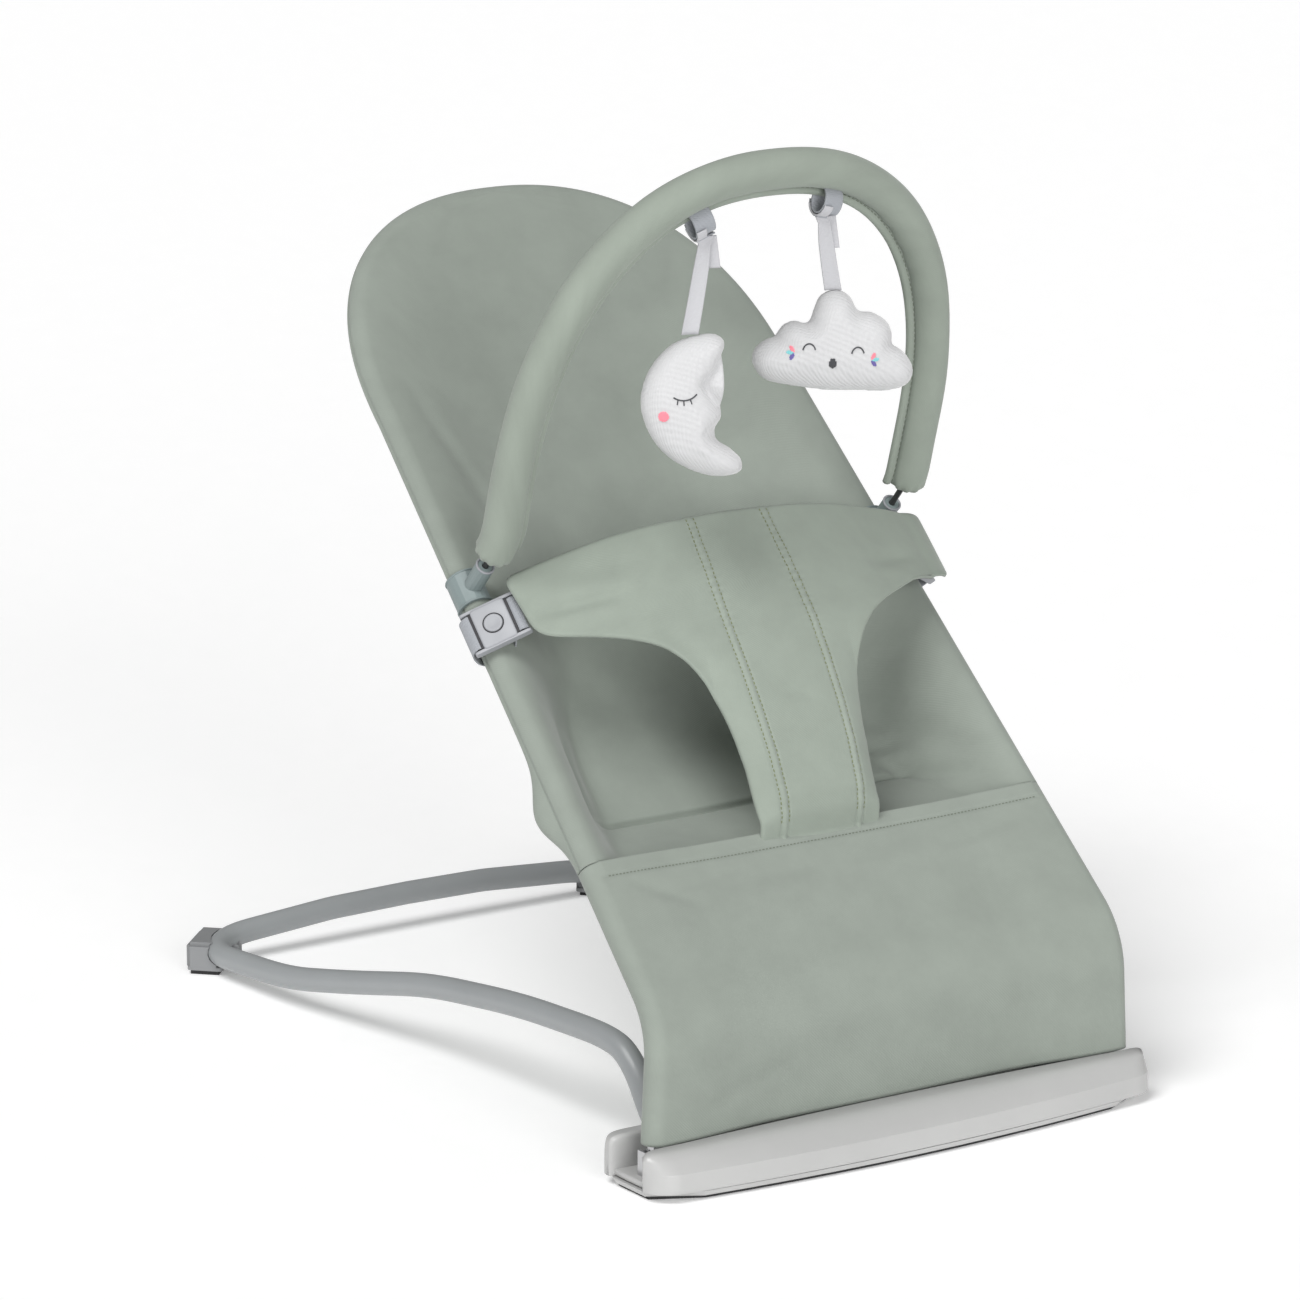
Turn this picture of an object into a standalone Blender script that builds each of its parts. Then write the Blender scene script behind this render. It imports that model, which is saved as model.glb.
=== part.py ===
"""Baby bouncer seat: a fabric seat on a bent tube, tilting on a low base frame.

Metres, +Z up, +X to the sitter's left, +Y to the rear. The origin is on the floor under the middle
of the front foot plate. Places on the seat are given as (x, distance, lift): the distance is measured
up the rail's centre line from the hinge axis, and the lift is at right angles to that line, in front of it.
"""
import math

import bmesh
import bpy
from mathutils import Matrix, Vector

# ---- driving dimensions -----------------------------------------------------------------------------
TUBE_RADIUS = 0.009            # seat and base tubes
COVER_WALL = 0.0012            # fabric tunnel around the seat tube
GAP = 0.0003                   # between pieces that touch
PANEL_GAP = 0.0008             # between sewn fabric pieces
PANEL_THICKNESS = 0.003

HINGE_Y = 0.0165               # seat hinge, inside the foot plate
HINGE_Z = 0.024
SHIN_TOP = 0.0947              # height where the upright front of the rail starts to bend
KNEE_RADIUS = 0.060
BACK_ANGLE = math.radians(42.5)
HINGE_HALF_WIDTH = 0.199       # rail centre from the middle plane, at the hinge
RAIL_TAPER = 0.048             # width lost per metre up the rail
BACK_LENGTH = 0.496            # straight rail between the knee and the head loop
HEAD_LENGTH = 0.1815
LOOP_EXPONENT = 2.3            # squareness of the head loop and of the toy bar

HEM = 0.2214                   # top edge of the leg panel, as a distance up the rail
POCKET_LENGTH = 0.150
POCKET_DEPTH = 0.052
POCKET_HALF_WIDTH = 0.150
BACK_SAG = 0.008
LEG_PANEL_START = 0.0100      # just inside the plate's slot
COVER_START = 0.0140

PLATE_HALF_WIDTH = HINGE_HALF_WIDTH + 0.019
PLATE_FRONT = -0.014           # front edge at the plate's ends
PLATE_BOW = 0.014              # how far the middle of the front edge bows out
PLATE_REAR = 0.062
PLATE_HEIGHT = 0.037
PLATE_WALL = 0.004
GRIP_HEIGHT = 0.0025
TRAY_THICKNESS = 0.004
PIN_RADIUS = 0.003
PIN_CLEARANCE = 0.0003
KNUCKLE_HALF = 0.0065

LEG_X = HINGE_HALF_WIDTH - 0.039   # base leg inside the plate
LEG_Y = 0.030
LEG_Z = 0.0195
BASE_REAR_X = HINGE_HALF_WIDTH - 0.009
BASE_REAR_Y = 0.660
BASE_ROUTE = (                 # right leg behind the plate: x beyond LEG_X, y, z
    (0.001, PLATE_REAR + 0.018, 0.036),
    (0.003, PLATE_REAR + 0.030, 0.060),
    (0.004, PLATE_REAR + 0.048, 0.075),
    (0.005, 0.140, 0.078),
    (0.005, 0.243, 0.072),
    (0.008, 0.359, 0.058),
    (0.018, 0.455, 0.037),
    (0.026, 0.530, 0.0225),
)
BASE_CORNER_RADIUS = 0.042
BASE_CORNER_Z = 0.0175
BASE_REAR_Z = 0.028
FOOT_LENGTH = 0.046            # rear foot, along the corner
FOOT_REACH = 0.021             # and outwards from the tube's centre line
FOOT_HEIGHT = 0.0255
PAD_HEIGHT = 0.003

CLIP_DISTANCE = 0.4614         # toy bar clips, up the rail
CLIP_LENGTH = 0.026
CLIP_WALL = 0.0025
SOCKET_RADIUS = 0.0070
SOCKET_HEIGHT = 0.034          # mouth, in front of the rail's centre line
WIRE_RADIUS = 0.00225
WIRE_CLEARANCE = 0.0003
WIRE_INSERTION = 0.020
BAR_HALF_WIDTH = HINGE_HALF_WIDTH - RAIL_TAPER * CLIP_DISTANCE + 0.00115
BAR_LEAN = math.radians(17.0)  # the arch leans forward
BAR_FORWARD = 0.03735          # foot of the arch's plane, from the rail's centre line at the clips
BAR_ABOVE = 0.03070
BAR_LIMB = 0.060               # height of the straight limbs in that plane
BAR_ARCH = 0.230               # height of the arch above them
SLEEVE_RADIUS = 0.0140
SLEEVE_START = 0.020           # lower ends of the padded sleeve, in the arch's plane

BUCKLE_DISTANCE = 0.4214
BUCKLE_TILT = math.radians(37.0)
BUCKLE_LENGTH = 0.0330         # along the rail
BUCKLE_WIDTH = 0.0400          # across the rail
BUCKLE_THICKNESS = 0.0075
BUCKLE_SHIFT = 0.0080          # towards the middle of the seat
BUTTON_RADIUS = 0.0070
BUTTON_TRAVEL = 0.0020
STRAP_THICKNESS = 0.0014
STRAP_WIDTH = 0.0280

HARNESS_THICKNESS = 0.004
HARNESS_TOP = 0.4444           # distances up the rail
HARNESS_BOTTOM = 0.2244
HARNESS_RISE = 0.062           # how far its middle stands in front of the rails

MOON_X = -0.068
CLOUD_X = 0.054
TOY_THICKNESS = 0.030
TOY_TURN = math.radians(-26.0)
TOY_STRAP_WIDTH = 0.013
LOOP_WALL = 0.0015
MOON_DROP = 0.098              # bar centre to the top of each toy
CLOUD_DROP = 0.084
MOON_HEIGHT = 0.108
CLOUD_WIDTH = 0.118
CLOUD_HEIGHT = 0.077

ROUND_SIDES = 14
COVER_RADIUS = TUBE_RADIUS + GAP + COVER_WALL
RAIL_EDGE = COVER_RADIUS + PANEL_GAP       # panels stop this far inside the rail's centre line

for old in list(bpy.data.objects):
    bpy.data.objects.remove(old, do_unlink=True)


# ---- materials --------------------------------------------------------------------------------------
def material(name, colour, roughness, metallic=0.0):
    made = bpy.data.materials.new(name)
    made.use_nodes = True
    shader = made.node_tree.nodes["Principled BSDF"]
    shader.inputs["Base Color"].default_value = (*colour, 1.0)
    shader.inputs["Roughness"].default_value = roughness
    shader.inputs["Metallic"].default_value = metallic
    return made


LOOKS = {
    "painted_tube": material("painted_tube", (0.36, 0.37, 0.38), 0.35, 0.3),
    "gloss_plate": material("gloss_plate", (0.52, 0.52, 0.52), 0.25),
    "dark_rubber": material("dark_rubber", (0.03, 0.03, 0.03), 0.8),
    "grey_plastic": material("grey_plastic", (0.17, 0.20, 0.19), 0.5),
    "bright_steel": material("bright_steel", (0.60, 0.60, 0.60), 0.3, 1.0),
    "sage_fabric": material("sage_fabric", (0.32, 0.35, 0.31), 0.9),
    "pale_webbing": material("pale_webbing", (0.42, 0.42, 0.44), 0.85),
    "buckle_plastic": material("buckle_plastic", (0.43, 0.44, 0.47), 0.4),
    "dark_wire": material("dark_wire", (0.07, 0.07, 0.07), 0.4, 0.6),
    "white_plush": material("white_plush", (0.72, 0.72, 0.72), 0.95),
}


# ---- shapes -----------------------------------------------------------------------------------------
def finish(name, builder, look, parent=None, smooth_angle=35):
    """Turn a bmesh into a named object with outward faces and smooth round sides."""
    bmesh.ops.recalc_face_normals(builder, faces=builder.faces)
    if builder.calc_volume(signed=True) < 0:
        bmesh.ops.reverse_faces(builder, faces=builder.faces)
    mesh = bpy.data.meshes.new(name)
    builder.to_mesh(mesh)
    builder.free()
    mesh.shade_smooth()
    mesh.set_sharp_from_angle(angle=math.radians(smooth_angle))
    mesh.materials.append(LOOKS[look])
    made = bpy.data.objects.new(name, mesh)
    bpy.context.scene.collection.objects.link(made)
    if parent is not None:
        made.parent = parent
        made.matrix_parent_inverse = parent.matrix_world.inverted()
    return made


def pivot(name, place):
    """Empty on a joint's axis."""
    made = bpy.data.objects.new(name, None)
    made.empty_display_size = 0.02
    made.location = place
    made.matrix_world = Matrix.Translation(place)
    bpy.context.scene.collection.objects.link(made)
    return made


def frames_along(points):
    """Parallel-transported frames (side, up) at each point of a path."""
    tangents = []
    for index, point in enumerate(points):
        before = points[max(index - 1, 0)]
        after = points[min(index + 1, len(points) - 1)]
        step_in = (point - before).normalized() if index else Vector((0, 0, 0))
        step_out = (after - point).normalized() if index < len(points) - 1 else Vector((0, 0, 0))
        tangents.append((step_in + step_out).normalized())
    side = tangents[0].orthogonal().normalized()
    frames = []
    for tangent in tangents:
        side = (side - tangent * side.dot(tangent)).normalized()
        frames.append((side, tangent.cross(side)))
    return frames


def ring_loops(builder, points, radius, sides):
    loops = []
    for point, (side, up) in zip(points, frames_along(points)):
        loop = []
        for step in range(sides):
            angle = 2 * math.pi * step / sides
            offset = side * math.cos(angle) + up * math.sin(angle)
            loop.append(builder.verts.new(point + offset * radius))
        loops.append(loop)
    return loops


def skin(builder, first, second):
    """Quads between two closed loops."""
    count = len(first)
    for step in range(count):
        after = (step + 1) % count
        builder.faces.new((first[step], first[after], second[after], second[step]))


def tube(name, points, radius, look, parent=None, sides=ROUND_SIDES):
    """Solid round bar along a path."""
    builder = bmesh.new()
    loops = ring_loops(builder, points, radius, sides)
    for first, second in zip(loops, loops[1:]):
        skin(builder, first, second)
    builder.faces.new(loops[0])
    builder.faces.new(loops[-1])
    return finish(name, builder, look, parent)


def pipe(name, points, inner, outer, look, parent=None, sides=ROUND_SIDES):
    """Open tube with a wall along a path."""
    builder = bmesh.new()
    outside = ring_loops(builder, points, outer, sides)
    inside = ring_loops(builder, points, inner, sides)
    for loops in (outside, inside):
        for first, second in zip(loops, loops[1:]):
            skin(builder, first, second)
    skin(builder, outside[0], inside[0])
    skin(builder, outside[-1], inside[-1])
    return finish(name, builder, look, parent)


def box(name, low, high, look, parent=None, bevel=0.0, place=None):
    """Block between two corners, in the frame given by place."""
    builder = bmesh.new()
    bmesh.ops.create_cube(builder, size=1.0)
    low, high = Vector(low), Vector(high)
    for vert in builder.verts:
        vert.co = Vector([low[i] + (vert.co[i] + 0.5) * (high[i] - low[i]) for i in range(3)])
    if bevel:
        bmesh.ops.bevel(builder, geom=builder.edges[:], offset=bevel, segments=2, affect="EDGES")
    if place is not None:
        builder.transform(place)
    return finish(name, builder, look, parent)


def cushion(name, outline, thickness, look, parent=None, place=None):
    """Flat outline in the XZ plane, thickened along Y, with its edges drawn in to round them."""
    builder = bmesh.new()
    loops = []
    for share, depth in ((0.86, -0.5), (1.0, -0.25), (1.0, 0.25), (0.86, 0.5)):
        loops.append([builder.verts.new((x * share, thickness * depth, z * share)) for x, z in outline])
    for first, second in zip(loops, loops[1:]):
        skin(builder, first, second)
    builder.faces.new(loops[0])
    builder.faces.new(loops[-1])
    if place is not None:
        builder.transform(place)
    return finish(name, builder, look, parent)


def cloth(name, surface, rows, columns, thickness, look, parent=None):
    """Closed sheet: surface(u, v) is its middle for u, v in 0..1, thickened along its own normals."""
    points = [[surface(c / columns, r / rows) for c in range(columns + 1)] for r in range(rows + 1)]
    builder = bmesh.new()
    layers = []
    for sign in (1, -1):
        layer = []
        for r in range(rows + 1):
            line = []
            for c in range(columns + 1):
                across = points[r][min(c + 1, columns)] - points[r][max(c - 1, 0)]
                along = points[min(r + 1, rows)][c] - points[max(r - 1, 0)][c]
                normal = across.cross(along).normalized()
                line.append(builder.verts.new(points[r][c] + normal * (sign * thickness / 2)))
            layer.append(line)
        layers.append(layer)
        for r in range(rows):
            for c in range(columns):
                corners = (layer[r][c], layer[r][c + 1], layer[r + 1][c + 1], layer[r + 1][c])
                builder.faces.new(corners)
    rims = []
    for layer in layers:
        rim = layer[0][:] + [line[-1] for line in layer[1:]] + layer[-1][-2::-1]
        rim += [line[0] for line in layer[-2:0:-1]]
        rims.append(rim)
    skin(builder, rims[0], rims[1])
    return finish(name, builder, look, parent, smooth_angle=60)


def cut(target, cutter):
    """Boolean difference with a hidden cutter."""
    cutter.hide_render = True
    cutter.display_type = "WIRE"
    cutter.name = "cutter_" + target.name
    modifier = target.modifiers.new("cut", "BOOLEAN")
    modifier.operation = "DIFFERENCE"
    modifier.object = cutter


def join(target, extra):
    """Boolean union with a hidden piece."""
    extra.hide_render = True
    extra.display_type = "WIRE"
    extra.name = "adds_to_" + target.name
    modifier = target.modifiers.new("join", "BOOLEAN")
    modifier.operation = "UNION"
    modifier.object = extra


def smoothstep(low, high, value):
    share = min(max((value - low) / (high - low), 0.0), 1.0)
    return share * share * (3 - 2 * share)


def superellipse(half_width, height, steps):
    """Right half of a squarish arch, from its foot (half_width, 0) to its top (0, height)."""
    power = 2 / LOOP_EXPONENT
    points = []
    for step in range(steps + 1):
        angle = math.pi / 2 * step / steps
        points.append((half_width * math.cos(angle) ** power, height * math.sin(angle) ** power))
    points[-1] = (0.0, height)
    return points


def mirrored(half):
    """Whole symmetric path from its right half, which ends on the middle plane."""
    left = [Vector((-p.x, p.y, p.z)) for p in half[:-1]]
    return half + left[::-1]


SIDES = (("left", -1), ("right", 1))


# ---- the seat's own coordinates ---------------------------------------------------------------------
SHIN_LENGTH = SHIN_TOP - HINGE_Z
KNEE_TURN = math.pi / 2 - BACK_ANGLE
KNEE_LENGTH = KNEE_RADIUS * KNEE_TURN
KNEE_END = SHIN_LENGTH + KNEE_LENGTH
HEAD_START = KNEE_END + BACK_LENGTH


def rail_station(distance):
    """Height, depth and slope of the rail's centre line at a distance from the hinge axis."""
    if distance <= SHIN_LENGTH:
        return HINGE_Y, HINGE_Z + distance, math.pi / 2
    turned = min((distance - SHIN_LENGTH) / KNEE_RADIUS, KNEE_TURN)
    y = HINGE_Y + KNEE_RADIUS * (1 - math.cos(turned))
    z = SHIN_TOP + KNEE_RADIUS * math.sin(turned)
    slope = math.pi / 2 - turned
    past = max(distance - KNEE_END, 0.0)
    return y + past * math.cos(slope), z + past * math.sin(slope), slope


def on_seat(x, distance, lift=0.0):
    y, z, slope = rail_station(distance)
    return Vector((x, y - lift * math.sin(slope), z + lift * math.cos(slope)))


def rail_x(distance):
    return HINGE_HALF_WIDTH - RAIL_TAPER * distance


def seat_frame_at(x, distance, lift=0.0):
    """Matrix whose X is across, Y up the rail and Z in front of it."""
    slope = rail_station(distance)[2]
    turn = Matrix.Rotation(slope, 4, "X")
    return Matrix.Translation(on_seat(x, distance, lift)) @ turn


def rail_frame(side, distance):
    """The same on a rail's centre line, with Y along the tapering rail."""
    lean = Matrix.Rotation(side * math.atan(RAIL_TAPER), 4, "Z")
    return seat_frame_at(side * rail_x(distance), distance) @ lean


def inner_x(distance):
    """Half width of the fabric between the rails, which narrows in the head loop."""
    straight = rail_x(min(distance, HEAD_START)) - RAIL_EDGE
    if distance <= HEAD_START:
        return straight
    share = min((distance - HEAD_START) / (HEAD_LENGTH - RAIL_EDGE), 1.0)
    return straight * (1 - share ** LOOP_EXPONENT) ** (1 / LOOP_EXPONENT)


def rail_path(start):
    """Right half of the seat tube's centre line."""
    knee = [SHIN_LENGTH + KNEE_LENGTH * step / 6 for step in range(7)]
    back = [KNEE_END + BACK_LENGTH * step / 4 for step in range(1, 4)]
    half = [on_seat(rail_x(d), d) for d in [start, *knee, *back]]
    head = superellipse(rail_x(HEAD_START), HEAD_LENGTH, 12)
    half += [on_seat(x, HEAD_START + up) for x, up in head]
    return half


# ---- base -------------------------------------------------------------------------------------------
def base_path():
    """Right half of the base tube: out of the plate, up, back over the floor and round the corner."""
    front = [
        Vector((LEG_X, LEG_Y, LEG_Z)),
        Vector((LEG_X, PLATE_REAR + 0.004, LEG_Z)),
    ]
    front += [Vector((LEG_X + out, y, z)) for out, y, z in BASE_ROUTE]
    centre = Vector((BASE_REAR_X - BASE_CORNER_RADIUS, BASE_REAR_Y - BASE_CORNER_RADIUS, 0))
    corner = []
    for step in range(7):
        angle = math.pi / 2 * step / 6
        reach = Vector((math.cos(angle), math.sin(angle), 0)) * BASE_CORNER_RADIUS
        rise = BASE_CORNER_Z + (BASE_REAR_Z - BASE_CORNER_Z) * 0.35 * (step / 6) ** 2
        corner.append(centre + reach + Vector((0, 0, rise)))
    rear = [Vector((0.070, BASE_REAR_Y, BASE_REAR_Z - 0.001)), Vector((0, BASE_REAR_Y, BASE_REAR_Z))]
    return rounded(front + corner[:1], 0.35) + corner[1:] + rear


def rounded(points, share):
    """Path with each inner corner replaced by three points, keeping both ends."""
    result = [points[0]]
    for before, here, after in zip(points, points[1:], points[2:]):
        into = here + (before - here) * share
        out = here + (after - here) * share
        result += [into, here * 0.5 + (into + out) * 0.25, out]
    return result + [points[-1]]


def plate_outline(inset, rear_inset, end_inset):
    """Plan outline of the foot plate: bowed front, rounded ends."""
    half = PLATE_HALF_WIDTH - end_inset
    round_end = 0.020 - min(inset, 0.015)
    rear = PLATE_REAR - rear_inset
    outline = [(half, rear - round_end), (half - round_end * 0.3, rear - round_end * 0.3)]
    outline += [(half - round_end, rear), (-half + round_end, rear)]
    outline += [(-half + round_end * 0.3, rear - round_end * 0.3), (-half, rear - round_end)]
    steps = 12
    outline.append((-half, PLATE_FRONT + inset + round_end))
    for step in range(1, steps):
        x = -half + 2 * half * step / steps
        bow = 1 - (x / half) ** 2
        outline.append((x, PLATE_FRONT + inset - PLATE_BOW * bow))
    outline.append((half, PLATE_FRONT + inset + round_end))
    return outline


def layered(name, layers, look, parent=None):
    """Solid through plan outlines (all with the same count) at rising heights."""
    builder = bmesh.new()
    loops = [[builder.verts.new((x, y, z)) for x, y in outline] for outline, z in layers]
    for first, second in zip(loops, loops[1:]):
        skin(builder, first, second)
    builder.faces.new(loops[0])
    builder.faces.new(loops[-1])
    return finish(name, builder, look, parent)


def build_plate():
    tray_low = GRIP_HEIGHT + GAP
    tray_top = tray_low + TRAY_THICKNESS
    layered("plate_grip", [
        (plate_outline(0.006, 0.006, 0.006), 0.0),
        (plate_outline(0.006, 0.006, 0.006), GRIP_HEIGHT)], "dark_rubber")
    layered("plate_tray", [
        (plate_outline(0.003, 0.003, 0.003), tray_low),
        (plate_outline(0.001, 0.001, 0.001), tray_top)], "gloss_plate")
    cover = layered("plate_cover", [
        (plate_outline(0.0, 0.0, 0.0), tray_top + GAP),
        (plate_outline(0.001, 0.001, 0.0005), 0.016),
        (plate_outline(0.006, 0.004, 0.0025), 0.025),
        (plate_outline(0.013, 0.008, 0.006), PLATE_HEIGHT - 0.004),
        (plate_outline(0.019, 0.012, 0.011), PLATE_HEIGHT)], "gloss_plate")
    inside = layered("inside", [
        (plate_outline(PLATE_WALL, PLATE_WALL, PLATE_WALL - 0.001), 0.0),
        (plate_outline(PLATE_WALL, PLATE_WALL, PLATE_WALL - 0.0005), 0.016),
        (plate_outline(PLATE_WALL + 0.010, PLATE_WALL + 0.005, PLATE_WALL + 0.002), 0.029)], "gloss_plate")
    cut(cover, inside)
    slot_x = HINGE_HALF_WIDTH + COVER_RADIUS + 0.002
    slot_front = HINGE_Y - COVER_RADIUS - 0.0015
    slot = box("slot", (-slot_x, slot_front, 0.020), (slot_x, PLATE_REAR - 0.014, 0.060), "gloss_plate")
    cut(cover, slot)
    for label, side in SIDES:
        middle = side * LEG_X
        room = TUBE_RADIUS + 0.0015
        exit_hole = box("leg_exit", (middle - room, 0.040, 0.0), (middle + room, 0.080, LEG_Z + room),
                        "gloss_plate")
        cut(cover, exit_hole)
    return tray_top


def build_hinges(tray_top):
    ear_inner, ear_outer = 0.0095, 0.0020
    ear_gap = 0.0006
    for label, side in SIDES:
        centre_x = side * HINGE_HALF_WIDTH
        floor = tray_top + GAP
        bracket = box("hinge_bracket_" + label,
                      (centre_x - ear_inner, HINGE_Y - 0.008, floor),
                      (centre_x + ear_inner, HINGE_Y + 0.008, HINGE_Z + 0.0065), "bright_steel")
        inner = KNUCKLE_HALF + ear_gap
        cut(bracket, box("jaw", (centre_x - inner, HINGE_Y - 0.020, floor + ear_outer),
                         (centre_x + inner, HINGE_Y + 0.020, HINGE_Z + 0.020), "bright_steel"))
        reach = ear_inner + 0.004
        axis = [Vector((centre_x - reach, HINGE_Y, HINGE_Z)), Vector((centre_x + reach, HINGE_Y, HINGE_Z))]
        cut(bracket, tube("pin_hole", axis, PIN_RADIUS + PIN_CLEARANCE, "bright_steel"))
        pin_reach = ear_inner + 0.0010
        ends = [Vector((centre_x - pin_reach, HINGE_Y, HINGE_Z)), Vector((centre_x + pin_reach, HINGE_Y, HINGE_Z))]
        tube("hinge_pin_" + label, ends, PIN_RADIUS, "bright_steel")


def build_base(tray_top):
    path = base_path()
    tube("base_frame", mirrored(path), TUBE_RADIUS, "painted_tube")
    for label, side in SIDES:
        clamp = box("leg_clamp_" + label, (side * LEG_X - 0.012, LEG_Y - 0.004, tray_top + GAP),
                    (side * LEG_X + 0.012, LEG_Y + 0.016, LEG_Z + 0.0135), "grey_plastic", bevel=0.001)
        socket = [Vector((side * LEG_X, LEG_Y - GAP, LEG_Z)), Vector((side * LEG_X, PLATE_REAR, LEG_Z))]
        cut(clamp, tube("leg_room", socket, TUBE_RADIUS + 0.0006, "grey_plastic"))
        build_rear_foot(label, side)


def build_rear_foot(label, side):
    """Plastic clip under and outside the tube at the rear corner, on a rubber pad."""
    inset = BASE_CORNER_RADIUS * (1 - math.sqrt(0.5))
    corner = Vector((side * (BASE_REAR_X - inset), BASE_REAR_Y - inset, 0))
    outward = math.radians(45 if side > 0 else 135)
    place = Matrix.Translation(corner) @ Matrix.Rotation(outward, 4, "Z")
    half = FOOT_LENGTH / 2
    foot = box("rear_foot_" + label, (-0.006, -half, PAD_HEIGHT + GAP), (FOOT_REACH, half, FOOT_HEIGHT),
               "grey_plastic", bevel=0.003, place=place)
    near = [p for p in mirrored(base_path()) if p.x * side > 0.08 and p.y > 0.50]
    cut(foot, tube("tube_room", near, TUBE_RADIUS + 0.0006, "grey_plastic"))
    box("foot_pad_" + label, (-0.004, -half + 0.003, 0.0), (FOOT_REACH - 0.003, half - 0.003, PAD_HEIGHT),
        "dark_rubber", place=place)


# ---- seat -------------------------------------------------------------------------------------------
def build_seat(seat):
    knuckle_top = 0.0125
    tube("seat_frame", mirrored(rail_path(knuckle_top + GAP)), TUBE_RADIUS, "painted_tube", seat)
    for label, side in SIDES:
        x = side * HINGE_HALF_WIDTH
        eye = [Vector((x - KNUCKLE_HALF, HINGE_Y, HINGE_Z)), Vector((x + KNUCKLE_HALF, HINGE_Y, HINGE_Z))]
        knuckle = tube("hinge_knuckle_" + label, eye, 0.0082, "bright_steel", seat)
        neck = tube("neck", [Vector((x, HINGE_Y, HINGE_Z + 0.004)), Vector((x, HINGE_Y, HINGE_Z + knuckle_top))],
                    0.0060, "bright_steel")
        join(knuckle, neck)
        bore = [Vector((x - 0.02, HINGE_Y, HINGE_Z)), Vector((x + 0.02, HINGE_Y, HINGE_Z))]
        cut(knuckle, tube("bore", bore, PIN_RADIUS + PIN_CLEARANCE, "bright_steel"))
    inner = TUBE_RADIUS + GAP
    pipe("cover_sleeve", mirrored(rail_path(COVER_START)), inner, COVER_RADIUS, "sage_fabric", seat)
    build_panels(seat)
    build_harness(seat)


def build_panels(seat):
    def leg(u, v):
        distance = LEG_PANEL_START + (HEM - LEG_PANEL_START) * v
        return on_seat(inner_x(distance) * (2 * u - 1), distance, 0.004)

    def pocket(u, v):
        distance = HEM + PANEL_GAP + POCKET_LENGTH * v
        x = inner_x(distance) * (2 * u - 1)
        wall = 1 - smoothstep(POCKET_HALF_WIDTH * 0.80, POCKET_HALF_WIDTH, abs(x))
        return on_seat(x, distance, -POCKET_DEPTH * wall * math.sin(math.pi * v) ** 2)

    back_start = HEM + POCKET_LENGTH + 2 * PANEL_GAP
    back_end = HEAD_START + (HEAD_LENGTH - RAIL_EDGE) * 0.985

    def back(u, v):
        distance = back_start + (back_end - back_start) * v
        across = 2 * u - 1
        sag = BACK_SAG * (1 - across ** 2) * math.sin(math.pi * v)
        return on_seat(inner_x(distance) * across, distance, -sag)

    cloth("leg_panel", leg, 10, 2, PANEL_THICKNESS, "sage_fabric", seat)
    cloth("seat_pocket", pocket, 10, 20, PANEL_THICKNESS, "sage_fabric", seat)
    upper = cloth("back_panel", back, 18, 8, PANEL_THICKNESS, "sage_fabric", seat)
    clear_rail(upper, BUCKLE_DISTANCE, STRAP_WIDTH, STRAP_THICKNESS)
    clear_rail(upper, CLIP_DISTANCE, CLIP_LENGTH, CLIP_WALL)


def clear_rail(panel, distance, length, wall):
    """Notch in both edges of a panel for a collar or strap that goes round the rail."""
    for _, side in SIDES:
        place = rail_frame(side, distance)
        reach = length / 2 + PANEL_GAP
        line = [place @ Vector((0, -reach, 0)), place @ Vector((0, reach, 0))]
        cut(panel, tube("notch", line, COVER_RADIUS + 2 * GAP + wall + PANEL_GAP, "sage_fabric", sides=16))


def harness_width(distance):
    """Half width of the T: narrow stem below, wide wings above."""
    stem = 0.052 + 0.030 * smoothstep(0.0, 0.11, distance - HARNESS_BOTTOM)
    wings = 0.157 - stem
    return stem + wings * smoothstep(0.105, 0.165, distance - HARNESS_BOTTOM)


def build_harness(seat):
    length = HARNESS_TOP - HARNESS_BOTTOM

    def surface(u, v):
        distance = HARNESS_BOTTOM + length * v
        x = harness_width(distance) * (2 * u - 1)
        rise = 0.020 + (HARNESS_RISE - 0.020) * math.sin(math.pi / 2 * min(1.0, v * 1.05))
        side_drop = smoothstep(0.030, 0.157, abs(x)) * (rise - 0.024) * (0.35 + 0.65 * v)
        return on_seat(x, distance, rise - side_drop)

    cloth("harness", surface, 14, 14, HARNESS_THICKNESS, "sage_fabric", seat)


def buckle_frame(side):
    """Frame on the rail: X across and towards the middle, Y up the rail, Z out of the buckle's face."""
    return rail_frame(side, BUCKLE_DISTANCE) @ Matrix.Rotation(side * BUCKLE_TILT, 4, "Y")


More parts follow.
